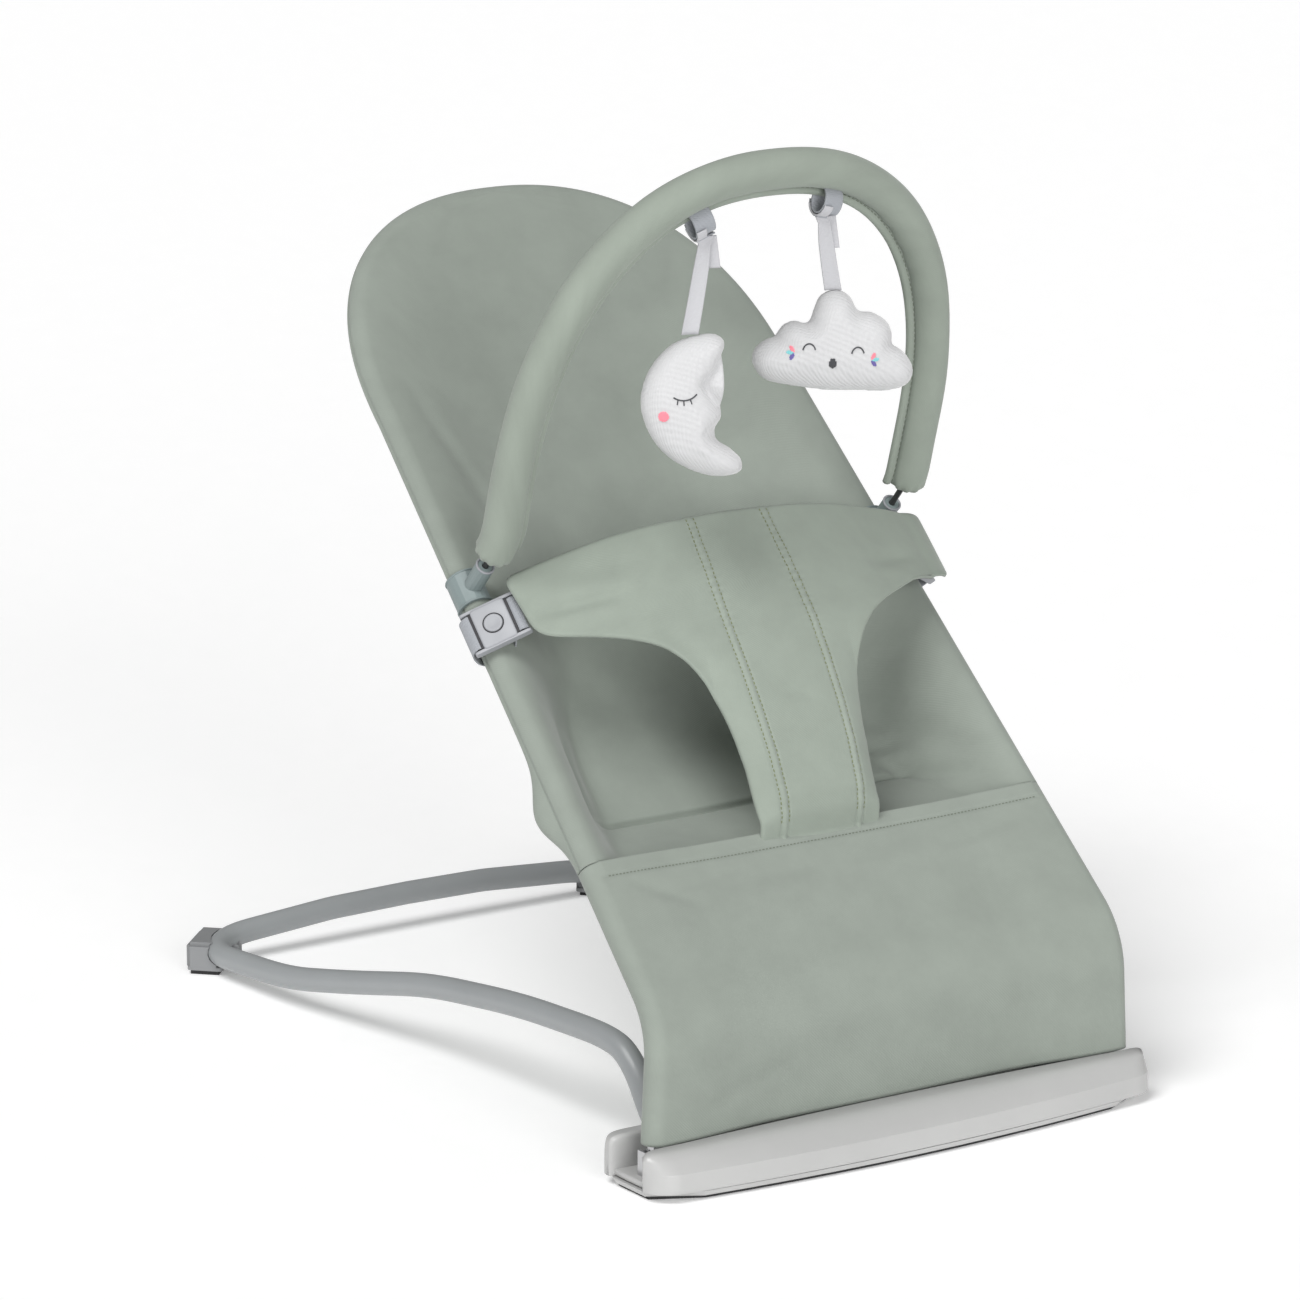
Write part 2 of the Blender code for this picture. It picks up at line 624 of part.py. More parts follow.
def build_buckles(seat):
    under = COVER_RADIUS + 2 * GAP + STRAP_THICKNESS + 0.0010
    for label, side in SIDES:
        place = buckle_frame(side)
        shift = -side * BUCKLE_SHIFT
        half = BUCKLE_WIDTH / 2
        strap_room = COVER_RADIUS + GAP
        ring = [place @ Vector((0, -STRAP_WIDTH / 2, 0)), place @ Vector((0, STRAP_WIDTH / 2, 0))]
        pipe("harness_strap_" + label, ring, strap_room, strap_room + STRAP_THICKNESS, "pale_webbing", seat, 20)
        low = (shift - half, -BUCKLE_LENGTH / 2, under)
        high = (shift + half, BUCKLE_LENGTH / 2, under + BUCKLE_THICKNESS)
        buckle = box("buckle_" + label, low, high, "buckle_plastic", seat, bevel=0.0015, place=place)
        face = under + BUCKLE_THICKNESS
        well = [place @ Vector((shift, 0, face - BUTTON_TRAVEL - 0.0030)), place @ Vector((shift, 0, face + 0.01))]
        cut(buckle, tube("well", well, BUTTON_RADIUS + 0.0003, "buckle_plastic", sides=24))
        press = pivot("button_slide_" + label, place @ Vector((shift, 0, face)))
        press.parent = seat
        press.matrix_parent_inverse = seat.matrix_world.inverted()
        button = [place @ Vector((shift, 0, face - 0.0022)), place @ Vector((shift, 0, face + 0.0006))]
        tube("buckle_button_" + label, button, BUTTON_RADIUS, "buckle_plastic", press, sides=24)


# ---- toy bar ----------------------------------------------------------------------------------------
def in_bar(x, height):
    """Point of the arch's leaning plane."""
    y, z = rail_station(CLIP_DISTANCE)[:2]
    up, back = height * math.cos(BAR_LEAN), height * math.sin(BAR_LEAN)
    return Vector((x, y - BAR_FORWARD - back, z + BAR_ABOVE + up))


def bar_height(x):
    share = 1 - (abs(x) / BAR_HALF_WIDTH) ** LOOP_EXPONENT
    return BAR_LIMB + BAR_ARCH * share ** (1 / LOOP_EXPONENT)


def bar_arch(start):
    """Right half of the arch, from a height on the limb to the top."""
    limb = [in_bar(BAR_HALF_WIDTH, start)]
    if start < BAR_LIMB * 0.6:
        limb.append(in_bar(BAR_HALF_WIDTH, BAR_LIMB * 0.6))
    arch = superellipse(BAR_HALF_WIDTH, BAR_ARCH, 12)
    return limb + [in_bar(x, BAR_LIMB + up) for x, up in arch]


def build_clips(seat):
    """Collar around each rail with a socket standing in front of it."""
    for label, side in SIDES:
        place = rail_frame(side, CLIP_DISTANCE)
        inner = COVER_RADIUS + GAP
        collar_line = [place @ Vector((0, -CLIP_LENGTH / 2, 0)), place @ Vector((0, CLIP_LENGTH / 2, 0))]
        collar = tube("toy_bar_clip_" + label, collar_line, inner + CLIP_WALL, "grey_plastic", seat, sides=20)
        socket_x = side * BAR_HALF_WIDTH - side * rail_x(CLIP_DISTANCE)
        socket = [place @ Vector((socket_x, 0, 0)), place @ Vector((socket_x, 0, SOCKET_HEIGHT))]
        join(collar, tube("socket", socket, SOCKET_RADIUS, "grey_plastic", sides=16))
        through = [place @ Vector((0, -CLIP_LENGTH, 0)), place @ Vector((0, CLIP_LENGTH, 0))]
        cut(collar, tube("rail_room", through, inner, "grey_plastic", sides=20))
        depth = SOCKET_HEIGHT - WIRE_INSERTION - WIRE_CLEARANCE
        room = [place @ Vector((socket_x, 0, depth)), place @ Vector((socket_x, 0, SOCKET_HEIGHT + 0.01))]
        cut(collar, tube("wire_room", room, WIRE_RADIUS + WIRE_CLEARANCE, "grey_plastic", sides=16))


def wire_path():
    """Right half of the toy bar's wire, from the bottom of its socket."""
    place = seat_frame_at(BAR_HALF_WIDTH, CLIP_DISTANCE)
    bottom = place @ Vector((0, 0, SOCKET_HEIGHT - WIRE_INSERTION))
    out = (place @ Vector((0, 0, 1)) - place @ Vector((0, 0, 0))).normalized()
    start = in_bar(BAR_HALF_WIDTH, 0.030)
    down = (in_bar(0, -1) - in_bar(0, 0)).normalized()
    mouth = bottom + out * (WIRE_INSERTION + 0.002)
    bend = []
    reach = (start - mouth).length * 0.36
    first, second = mouth + out * reach, start + down * reach
    for step in range(7):
        t = step / 6
        s = 1 - t
        bend.append(mouth * s ** 3 + first * 3 * s * s * t + second * 3 * s * t * t + start * t ** 3)
    return [bottom] + bend + bar_arch(0.036)[1:]


def build_toy_bar(bar):
    tube("toy_bar_wire", mirrored(wire_path()), WIRE_RADIUS, "dark_wire", bar, 8)
    pipe("toy_bar_sleeve", mirrored(bar_arch(SLEEVE_START)), WIRE_RADIUS + 0.0012, SLEEVE_RADIUS,
         "sage_fabric", bar, 12)


def hanging_loop(prefix, x, drop, parent):
    """Fabric loop round the bar and the strap that hangs from it."""
    here = in_bar(x, bar_height(x))
    step = 0.002
    along = (in_bar(x + step, bar_height(x + step)) - in_bar(x - step, bar_height(x - step))).normalized()
    inner = SLEEVE_RADIUS + 0.0010
    half = TOY_STRAP_WIDTH / 2
    pipe(prefix + "_loop", [here - along * half, here + along * half], inner, inner + LOOP_WALL,
         "pale_webbing", parent, 20)
    slope = abs(along.z) / math.hypot(along.x, along.y)
    slack = (inner + LOOP_WALL) * math.sqrt(1 + slope ** 2) + half * slope + GAP
    turn = Matrix.Translation((here.x, here.y, here.z)) @ Matrix.Rotation(math.atan2(along.y, along.x), 4, "Z")
    box(prefix + "_strap", (-half, -0.0008, -drop + 2 * GAP), (half, 0.0008, -slack), "sage_fabric", parent,
        place=turn)
    return here


def moon_outline():
    """Crescent with its open side to the right."""
    radius = MOON_HEIGHT / 2
    points = []
    for step in range(13):
        angle = math.radians(62 + 236 * step / 12)
        points.append((radius * math.cos(angle), radius * math.sin(angle)))
    tip_x, tip_z = points[-1]
    hollow = radius * 0.98
    half_angle = math.asin(abs(tip_z) / hollow)
    middle = tip_x + hollow * math.cos(half_angle)
    for step in range(1, 8):
        angle = math.pi + half_angle - 2 * half_angle * step / 8
        points.append((middle + hollow * math.cos(angle), hollow * math.sin(angle)))
    return points


def cloud_outline():
    """Flat-bottomed cloud with three round lobes."""
    width, height = CLOUD_WIDTH, CLOUD_HEIGHT
    lobes = ((-0.27, -0.13, 0.23), (0.02, 0.05, 0.275), (0.28, -0.10, 0.22))
    points = []
    for step in range(28):
        angle = 2 * math.pi * step / 28
        ray = (math.cos(angle), math.sin(angle))
        reach = 0.0
        for cx, cz, r in lobes:
            along = cx * ray[0] + cz * ray[1]
            side = abs(cx * ray[1] - cz * ray[0])
            if side < r:
                reach = max(reach, along + math.sqrt(r * r - side * side))
        x, z = reach * ray[0] * width, reach * ray[1] * width
        points.append((x, max(z, -height / 2)))
    return points


def build_toys(moon, cloud):
    here = hanging_loop("moon", MOON_X, MOON_DROP, moon)
    place = Matrix.Translation(here - Vector((0, 0, MOON_DROP + MOON_HEIGHT / 2 + GAP)))
    place = place @ Matrix.Rotation(TOY_TURN, 4, "Z") @ Matrix.Translation((0.012, 0, 0))
    cushion("moon_toy", moon_outline(), TOY_THICKNESS, "white_plush", moon, place)
    here = hanging_loop("cloud", CLOUD_X, CLOUD_DROP, cloud)
    top = max(z for x, z in cloud_outline() if abs(x) < 0.02)
    place = Matrix.Translation(here - Vector((0, 0, CLOUD_DROP + top + GAP)))
    place = place @ Matrix.Rotation(TOY_TURN, 4, "Z")
    cushion("cloud_toy", cloud_outline(), TOY_THICKNESS, "white_plush", cloud, place)


# ---- assembly ---------------------------------------------------------------------------------------
def build():
    seat = pivot("seat_hinge", Vector((0, HINGE_Y, HINGE_Z)))
    bar = pivot("toy_bar_mount", seat_frame_at(0, CLIP_DISTANCE, SOCKET_HEIGHT).translation)
    moon = pivot("moon_hang", in_bar(MOON_X, bar_height(MOON_X)))
    cloud = pivot("cloud_hang", in_bar(CLOUD_X, bar_height(CLOUD_X)))
    tray_top = build_plate()
    build_hinges(tray_top)
    build_base(tray_top)
    build_seat(seat)
    build_buckles(seat)
    build_clips(seat)
    build_toy_bar(bar)
    build_toys(moon, cloud)


build()
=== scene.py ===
"""Looks of a baby bouncer seat: sage fabric on a bent tube, a padded harness, a toy bar and a low base.

Places on the seat are (x, distance, lift): distance is measured up the rail's centre line from the hinge
axis, and lift stands at right angles to that line, in front of it. Every shape is a grid of points worked
out as whole arrays, in metres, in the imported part's own frame.
"""
import math

import bmesh
import bpy
import numpy as np
from mathutils import Matrix, Vector
from mathutils.bvhtree import BVHTree


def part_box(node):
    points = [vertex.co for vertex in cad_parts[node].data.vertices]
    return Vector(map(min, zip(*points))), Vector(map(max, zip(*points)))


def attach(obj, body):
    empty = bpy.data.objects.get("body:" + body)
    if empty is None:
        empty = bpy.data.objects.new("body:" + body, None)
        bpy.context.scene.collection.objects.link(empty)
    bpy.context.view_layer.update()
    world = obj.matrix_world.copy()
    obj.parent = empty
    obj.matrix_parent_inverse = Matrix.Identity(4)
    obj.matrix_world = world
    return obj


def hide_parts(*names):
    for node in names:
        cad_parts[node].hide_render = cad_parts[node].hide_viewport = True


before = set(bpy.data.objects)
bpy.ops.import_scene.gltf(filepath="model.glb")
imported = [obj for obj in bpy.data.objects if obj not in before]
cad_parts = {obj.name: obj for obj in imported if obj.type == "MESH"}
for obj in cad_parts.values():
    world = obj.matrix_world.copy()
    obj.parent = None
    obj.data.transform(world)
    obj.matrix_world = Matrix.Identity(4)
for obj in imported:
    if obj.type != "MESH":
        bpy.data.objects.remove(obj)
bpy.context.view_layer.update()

# ---- sizes shared with the part ---------------------------------------------------------------------
TUBE = 0.009
HINGE_Y, HINGE_Z = 0.0165, 0.024
SHIN_TOP, KNEE_RADIUS = 0.0947, 0.060
BACK_ANGLE = math.radians(42.5)
HINGE_HALF_WIDTH, RAIL_TAPER = 0.199, 0.048
BACK_LENGTH, HEAD_LENGTH, SQUARENESS = 0.496, 0.1815, 2.3
HEM = 0.2214
HEM_SEAM = HEM - 0.0112
SHIN_LENGTH = SHIN_TOP - HINGE_Z
KNEE_TURN = math.pi / 2 - BACK_ANGLE
KNEE_END = SHIN_LENGTH + KNEE_RADIUS * KNEE_TURN
HEAD_START = KNEE_END + BACK_LENGTH
CLIP_DISTANCE, SOCKET_HEIGHT, WIRE_INSERTION = 0.4614, 0.034, 0.020
BAR_HALF_WIDTH = HINGE_HALF_WIDTH - RAIL_TAPER * CLIP_DISTANCE + 0.00115
BAR_FORWARD, BAR_ABOVE, BAR_LEAN = 0.03735, 0.03070, math.radians(17.0)
BAR_LIMB, BAR_ARCH = 0.060, 0.230
BUCKLE_DISTANCE, BUCKLE_TILT = 0.4214, math.radians(37.0)
FABRIC = 0.0012                      # cloth thickness
COVER = 0.0108                       # outside of the fabric round the rail
SIDES = (("left", -1), ("right", 1))
TOYS_AT = (("moon", -0.068), ("cloud", 0.054))
LOOP_GAP = 0.0125                    # the bar's stitches stop this far either side of a toy's loop
TOY_TURN = math.radians(-26.0)       # which way the toys face, about the upright
BAR_STEP = 0.0022                    # spacing of the rings along the padded bar
PADDING = 0.0142                     # radius of the padded bar
PAD_HALF = 0.0021                    # half of the harness's thickness
STEM_START = 0.2199                  # how far up the rail the harness leaves the leg cloth


# ---- small maths ------------------------------------------------------------------------------------
def smooth(low, high, value):
    """0 below low, 1 above high, with a soft S between."""
    share = np.clip((np.asarray(value, float) - low) / (high - low), 0.0, 1.0)
    return share * share * (3 - 2 * share)


def bump(value, centre, width):
    """Gaussian hill of height 1."""
    return np.exp(-(((np.asarray(value, float) - centre) / width) ** 2))


def spread(count, low=0.0, high=1.0, ease=0.0):
    """Even shares from low to high, drawn towards both ends by ease."""
    t = np.linspace(0, 1, count)
    t = (1 - ease) * t + ease * (0.5 - 0.5 * np.cos(np.pi * t))
    return low + (high - low) * t


def ripple(x, y, seed, scale):
    """Smooth aperiodic field: the mean of six sines whose directions and waves are drawn from the seed."""
    draw = np.random.default_rng(seed)
    total = np.zeros(np.broadcast(x, y).shape)
    for _ in range(6):
        angle, phase = draw.uniform(0, 2 * np.pi, 2)
        wave = draw.uniform(0.6, 1.6) / scale
        total = total + np.sin(wave * (x * np.cos(angle) + y * np.sin(angle)) + phase)
    return total / 6


def crease(x, y, start, end, width, depth):
    """Groove along a segment: a gaussian across it that fades out at both ends."""
    a, b = np.array(start), np.array(end)
    along = (b - a) / np.sum((b - a) ** 2)
    t = (x - a[0]) * along[0] + (y - a[1]) * along[1]
    near = np.clip(t, 0, 1)
    gap = np.hypot(x - a[0] - (b - a)[0] * near, y - a[1] - (b - a)[1] * near)
    fade = smooth(-0.15, 0.35, t) * (1 - smooth(0.65, 1.15, t))
    return -depth * np.exp(-((gap / width) ** 2)) * fade


def creases(x, y, table):
    """Sum of the creases in a table of start x, start y, end x, end y, width and depth."""
    return sum(crease(x, y, row[:2], row[2:4], *row[4:]) for row in table)


def nearest(points, line, step=64):
    """Distance from each flat point to the nearest point of a line, taken in steps to save memory."""
    best = np.full(len(points), 1.0)
    for k in range(0, len(line), step):
        part = line[k:k + step]
        gap = np.hypot(points[:, :1] - part[None, :, 0], points[:, 1:] - part[None, :, 1])
        best = np.minimum(best, gap.min(1))
    return best


def dome(share):
    """Quarter circle: 0 at share 0, 1 at share 1 and beyond."""
    return np.sqrt(np.clip(1 - (1 - np.clip(share, 0, 1)) ** 2, 0, 1))


def quadratic(start, middle, end, t):
    return start * (1 - t) ** 2 + middle * 2 * t * (1 - t) + end * t ** 2


def through(a, b, c, d, t):
    """Catmull-Rom span from b to c."""
    return 0.5 * (2 * b + (c - a) * t + (2 * a - 5 * b + 4 * c - d) * t ** 2 + (3 * b - a - 3 * c + d) * t ** 3)


def lengths(path):
    """Arc length from the start to each point of a path."""
    return np.concatenate([[0], np.cumsum(np.linalg.norm(np.diff(path, axis=0), axis=1))])


def sampled(at, length, values):
    """Vectors given along a path, read at other arc lengths."""
    return np.stack([np.interp(at, length, values[:, k]) for k in range(3)], 1)


def unit(vectors):
    return vectors / np.maximum(np.linalg.norm(vectors, axis=-1, keepdims=True), 1e-12)


# ---- seat coordinates -------------------------------------------------------------------------------
def station(distance):
    """Depth, height and slope of the rail's centre line: upright, then a quarter-round knee, then straight."""
    d = np.asarray(distance, float)
    turned = np.clip((d - SHIN_LENGTH) / KNEE_RADIUS, 0, KNEE_TURN)
    past = np.maximum(d - KNEE_END, 0.0)
    slope = np.pi / 2 - turned
    y = HINGE_Y + KNEE_RADIUS * (1 - np.cos(turned)) + past * np.cos(slope)
    z = HINGE_Z + np.minimum(d, SHIN_LENGTH) + KNEE_RADIUS * np.sin(turned) + past * np.sin(slope)
    return y, z, slope


def on_seat(x, distance, lift):
    y, z, slope = station(distance)
    return np.stack(np.broadcast_arrays(x, y - lift * np.sin(slope), z + lift * np.cos(slope)), -1)


def rail_x(distance):
    return HINGE_HALF_WIDTH - RAIL_TAPER * np.asarray(distance, float)


def seat_place(x, distance, lift=0.0):
    """Matrix with X across, Y up the rail and Z in front of it."""
    slope = float(station(distance)[2])
    return Matrix.Translation(Vector(on_seat(x, distance, lift))) @ Matrix.Rotation(slope, 4, "X")


def rail_place(side, distance):
    lean = Matrix.Rotation(side * math.atan(RAIL_TAPER), 4, "Z")
    return seat_place(side * float(rail_x(distance)), distance) @ lean


def squarish(half_width, height, angle):
    """Superellipse arch: x = w cos(a)^p, y = h sin(a)^p."""
    power = 2 / SQUARENESS
    cos, sin = np.clip(np.cos(angle), 0, 1), np.clip(np.sin(angle), 0, 1)
    return half_width * cos ** power, height * sin ** power


# ---- meshes -----------------------------------------------------------------------------------------
def make(name, points, faces, material, uv=None, weld=0.0, turn=False):
    """Named mesh from arrays, smooth shaded, with an optional UV map in metres for each corner's point."""
    mesh = bpy.data.meshes.new(name)
    mesh.from_pydata(points.reshape(-1, 3).tolist(), [], faces.tolist())
    if uv is not None:
        layer = mesh.uv_layers.new(name="cloth")
        corners = np.zeros(len(mesh.loops), np.int32)
        mesh.loops.foreach_get("vertex_index", corners)
        layer.data.foreach_set("uv", uv.reshape(-1, 2)[corners].astype(np.float32).ravel())
    if weld or turn:
        builder = bmesh.new()
        builder.from_mesh(mesh)
        if weld:
            bmesh.ops.remove_doubles(builder, verts=builder.verts, dist=weld)
            bmesh.ops.dissolve_degenerate(builder, edges=builder.edges, dist=weld)
        if turn:
            bmesh.ops.recalc_face_normals(builder, faces=builder.faces)
            if builder.calc_volume(signed=True) < 0:
                bmesh.ops.reverse_faces(builder, faces=builder.faces)
        builder.to_mesh(mesh)
        builder.free()
    mesh.shade_smooth()
    mesh.materials.append(material)
    made = bpy.data.objects.new(name, mesh)
    bpy.context.scene.collection.objects.link(made)
    return made


def grid_faces(rows, columns, close_rows=False, close_columns=False):
    """Quads of a rows by columns grid, wrapping round where asked."""
    index = np.arange(rows * columns).reshape(rows, columns)
    if close_rows:
        index = np.concatenate([index, index[:1]])
    if close_columns:
        index = np.concatenate([index, index[:, :1]], 1)
    quads = [index[:-1, :-1], index[:-1, 1:], index[1:, 1:], index[1:, :-1]]
    return np.stack(quads, -1).reshape(-1, 4)


def metres(points):
    """UV of a grid: arc length along its rows and up its columns."""
    across = np.linalg.norm(np.diff(points, axis=1), axis=-1)
    along = np.linalg.norm(np.diff(points, axis=0), axis=-1)
    u = np.concatenate([np.zeros((len(points), 1)), np.cumsum(across, 1)], 1)
    v = np.concatenate([np.zeros((1, points.shape[1])), np.cumsum(along, 0)], 0)
    return np.stack([u - u.mean(1, keepdims=True), v], -1)


def cloth_sheet(name, grid, material, thickness=FABRIC, weld=1e-6):
    """Open grid of cloth given a wall by Solidify, inwards from the side that is seen."""
    made = make(name, grid, grid_faces(*grid.shape[:2]), material, metres(grid), weld)
    wall = made.modifiers.new("wall", "SOLIDIFY")
    wall.thickness = thickness
    wall.offset = -1
    return made


def path_frames(path):
    """Tangent, side and up at each point, carried along the path without twisting."""
    tangent = unit(np.gradient(path, axis=0))
    seed = np.cross(tangent[0], [0.31, 0.52, 0.79])
    side = np.zeros_like(path)
    side[0] = unit(seed)
    for i in range(1, len(path)):
        here = side[i - 1] - tangent[i] * np.dot(side[i - 1], tangent[i])
        side[i] = here / np.linalg.norm(here)
    return tangent, side, np.cross(tangent, side)


def swept(name, path, radius, material, sides=24, frames=None, uv=True):
    """Closed tube along a path, whose ends meet in poles: radius is a number, or an array of points by sides."""
    _, side, up = frames if frames is not None else path_frames(path)
    angle = np.linspace(0, 2 * np.pi, sides, endpoint=False)
    reach = np.broadcast_to(np.asarray(radius, float), (len(path), sides))
    ring = side[:, None] * np.cos(angle)[None, :, None] + up[:, None] * np.sin(angle)[None, :, None]
    body = path[:, None] + ring * reach[..., None]
    caps = np.linspace(0.0, 1.0, 4)[:3, None, None]
    start = path[0] + (body[0] - path[0])[None] * caps
    end = path[-1] + (body[-1] - path[-1])[None] * caps[::-1]
    grid = np.concatenate([start, body, end])
    faces = grid_faces(*grid.shape[:2], close_columns=True)
    return make(name, grid, faces, material, metres(grid) if uv else None, weld=1e-7, turn=True)


def block(name, size, place, material, hard=0.16, steps=(28, 40)):
    """Rounded block: a superquadric whose exponents near 0 make it square, with closed poles."""
    height = np.linspace(-np.pi / 2, np.pi / 2, steps[0])[:, None]
    around = np.linspace(0, 2 * np.pi, steps[1], endpoint=False)[None]

    def power(value):
        return np.sign(value) * np.abs(value) ** hard

    x = power(np.cos(height)) * power(np.cos(around)) * size[0] / 2
    y = power(np.cos(height)) * power(np.sin(around)) * size[1] / 2
    z = power(np.sin(height)) * size[2] / 2 + 0 * around
    grid = np.stack([x, y, z], -1)
    made = make(name, grid, grid_faces(*steps, close_columns=True), material, weld=1e-6, turn=True)
    made.data.transform(place)
    return made


def rounded_path(points, share, steps):
    """Polyline whose inner corners become quadratic curves."""
    p = np.asarray(points, float)
    t = np.linspace(0, 1, steps)[:, None]
    parts = [p[:1]]
    for before, here, after in zip(p, p[1:], p[2:]):
        into, out = here + (before - here) * share, here + (after - here) * share
        parts.append(quadratic(into, here, out, t))
    return np.concatenate(parts + [p[-1:]])


def even(path, step):
    """The same path sampled at even arc length."""
    length = lengths(path)
    return sampled(np.linspace(0, length[-1], max(int(length[-1] / step), 2)), length, path)


def mirror_path(half):
    return np.concatenate([half, (half * [-1, 1, 1])[-2::-1]])


def stitches(name, path, normals, material, pitch, length, radius, gaps=()):
    """Thread stitches: one small capsule for each pitch of the path, lying on its normals.

    A stitch nearer than LOOP_GAP in x to one of the gaps is left out."""
    so_far = lengths(path)
    count = max(int(so_far[-1] / pitch), 1)
    at = (np.arange(count) + 0.5) * so_far[-1] / count
    centre = sampled(at, so_far, path)
    along = unit(sampled(at + 1e-4, so_far, path) - sampled(at - 1e-4, so_far, path))
    up = unit(sampled(at, so_far, normals))
    side = unit(np.cross(along, up))
    kept = np.full(count, True)
    for x in gaps:
        kept &= np.abs(centre[:, 0] - x) > LOOP_GAP
    centre, up, along, side = (v[kept][:, None, None] for v in (centre, up, along, side))
    rows, sides, above = 6, 6, 0.0001
    t = np.linspace(-1, 1, rows)[:, None]
    angle = np.linspace(0, 2 * np.pi, sides, endpoint=False)[None]
    swell = np.sqrt(np.maximum(1 - t ** 4, 0.0))
    x = t * length / 2 + 0 * angle
    y, z = swell * np.cos(angle) * radius, swell * np.sin(angle) * radius - 0.4 * radius * t ** 2
    body = centre + up * above + along * x[None, ..., None] + side * y[None, ..., None] + up * z[None, ..., None]
    one = grid_faces(rows, sides, close_columns=True)
    faces = (one[None] + (np.arange(len(centre)) * rows * sides)[:, None, None]).reshape(-1, 4)
    return make(name, body, faces, material, weld=1e-7, turn=True)


def laid_on(tree, path, up, above=0.012):
    """The path dropped along -up on to a surface, with the surface's own normals there."""
    found, normals = [], []
    for point, way in zip(path, unit(up)):
        hit, normal, _, _ = tree.ray_cast(Vector(point + way * above), Vector(-way), above * 3)
        found.append(point if hit is None else np.array(hit))
        facing = way if normal is None else np.array(normal)
        normals.append(facing if np.dot(facing, way) > 0 else -facing)
    return np.array(found), np.array(normals)


def sewn_on(tree, x, distance, lift):
    """A line given in seat coordinates, laid on a cloth."""
    path = on_seat(x, distance, lift)
    return laid_on(tree, path, on_seat(x, distance, lift + 1) - path)


def surface(obj):
    return BVHTree.FromObject(obj, bpy.context.evaluated_depsgraph_get())


def held(made, body, slot, *nodes, pad=None):
    """Rides the piece and hides the solids it stands for; its slot is not used."""
    if nodes:
        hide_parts(*nodes)
    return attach(made, body)


# ---- materials --------------------------------------------------------------------------------------
def shade(name, colour, roughness, sockets):
    """Principled material with its constant values on the shader's own sockets."""
    made = bpy.data.materials.new(name)
    made.use_nodes = True
    tree = made.node_tree
    shader = tree.nodes["Principled BSDF"]
    shader.inputs["Base Color"].default_value = (*colour, 1)
    shader.inputs["Roughness"].default_value = roughness
    for key, value in sockets.items():
        shader.inputs[key].default_value = value
    return made, tree, shader, node(tree, "ShaderNodeTexCoord")


def node(tree, kind, inputs=None, **fields):
    made = tree.nodes.new(kind)
    for key, value in fields.items():
        setattr(made, key, value)
    for key, value in (inputs or {}).items():
        made.inputs[key].default_value = value
    return made


def mottle(tree, shader, vector, colour, scale, amount):
    """Slow variation of the base colour between two near tones."""
    noise = node(tree, "ShaderNodeTexNoise", {"Scale": scale, "Detail": 4.0, "Roughness": 0.6})
    ramp = node(tree, "ShaderNodeValToRGB")
    for stop, position, change in zip(ramp.color_ramp.elements, (0.30, 0.70), (-amount, amount)):
        stop.position, stop.color = position, (*(c * (1 + change) for c in colour), 1)
    tree.links.new(vector, noise.inputs["Vector"])
    tree.links.new(noise.outputs["Fac"], ramp.inputs["Fac"])
    tree.links.new(ramp.outputs["Color"], shader.inputs["Base Color"])


def relief(tree, shader, height, strength, distance):
    """Bump from a height field into the shader's normal."""
    made = node(tree, "ShaderNodeBump", {"Strength": strength, "Distance": distance})
    tree.links.new(height, made.inputs["Height"])
    tree.links.new(made.outputs["Normal"], shader.inputs["Normal"])


def woven(name, colour, thread, sheen, roughness=0.82, use_uv=True, amount=0.05, depth=0.00010):
    """Cloth: a fine twill from two crossed wave patterns as bump, soft sheen and slow colour variation."""
    made, tree, shader, place = shade(name, colour, roughness, {
        "Sheen Weight": sheen, "Sheen Roughness": 0.45, "Specular IOR Level": 0.28})
    vector = place.outputs["UV" if use_uv else "Object"]
    mottle(tree, shader, vector, colour, 26.0, amount)
    total = None
    for direction, finer, bend in (("DIAGONAL", 1.0, 0.6), ("Y", 1.35, 0.4), (None, 1.0, 0.0)):
        if direction:
            pattern = node(tree, "ShaderNodeTexWave", {
                "Scale": finer / (2 * np.pi * thread), "Distortion": bend, "Detail": 1.0, "Detail Scale": 2.0},
                bands_direction=direction)
        else:
            pattern = node(tree, "ShaderNodeTexNoise", {"Scale": 900.0, "Detail": 2.0})
        tree.links.new(vector, pattern.inputs["Vector"])
        height = pattern.outputs["Fac"]
        if total is not None:
            both = node(tree, "ShaderNodeMath", operation="ADD")
            tree.links.new(total, both.inputs[0])
            tree.links.new(height, both.inputs[1])
            height = both.outputs[0]
        total = height
    relief(tree, shader, total, 0.35, depth)
    return made


def moulded(name, colour, roughness, grain=0.00004, coat=0.0, metallic=0.0, amount=0.03):
    """Plastic, paint or metal: fine grain as bump, and gloss that varies a little with handling."""
    made, tree, shader, place = shade(name, colour, roughness, {
        "Metallic": metallic, "Coat Weight": coat, "Coat Roughness": 0.12})
    vector, wear = place.outputs["Object"], 0.06
    mottle(tree, shader, vector, colour, 14.0, amount)
    rub = node(tree, "ShaderNodeTexNoise", {"Scale": 40.0, "Detail": 5.0})
    gloss = node(tree, "ShaderNodeMapRange", {"From Min": 0.3, "From Max": 0.7,
                                              "To Min": roughness - wear, "To Max": roughness + wear})
    tree.links.new(vector, rub.inputs["Vector"])
    tree.links.new(rub.outputs["Fac"], gloss.inputs["Value"])
    tree.links.new(gloss.outputs["Result"], shader.inputs["Roughness"])
    speck = node(tree, "ShaderNodeTexNoise", {"Scale": 600.0, "Detail": 2.0})
    tree.links.new(vector, speck.inputs["Vector"])
    relief(tree, shader, speck.outputs["Fac"], 0.3, grain)
    return made


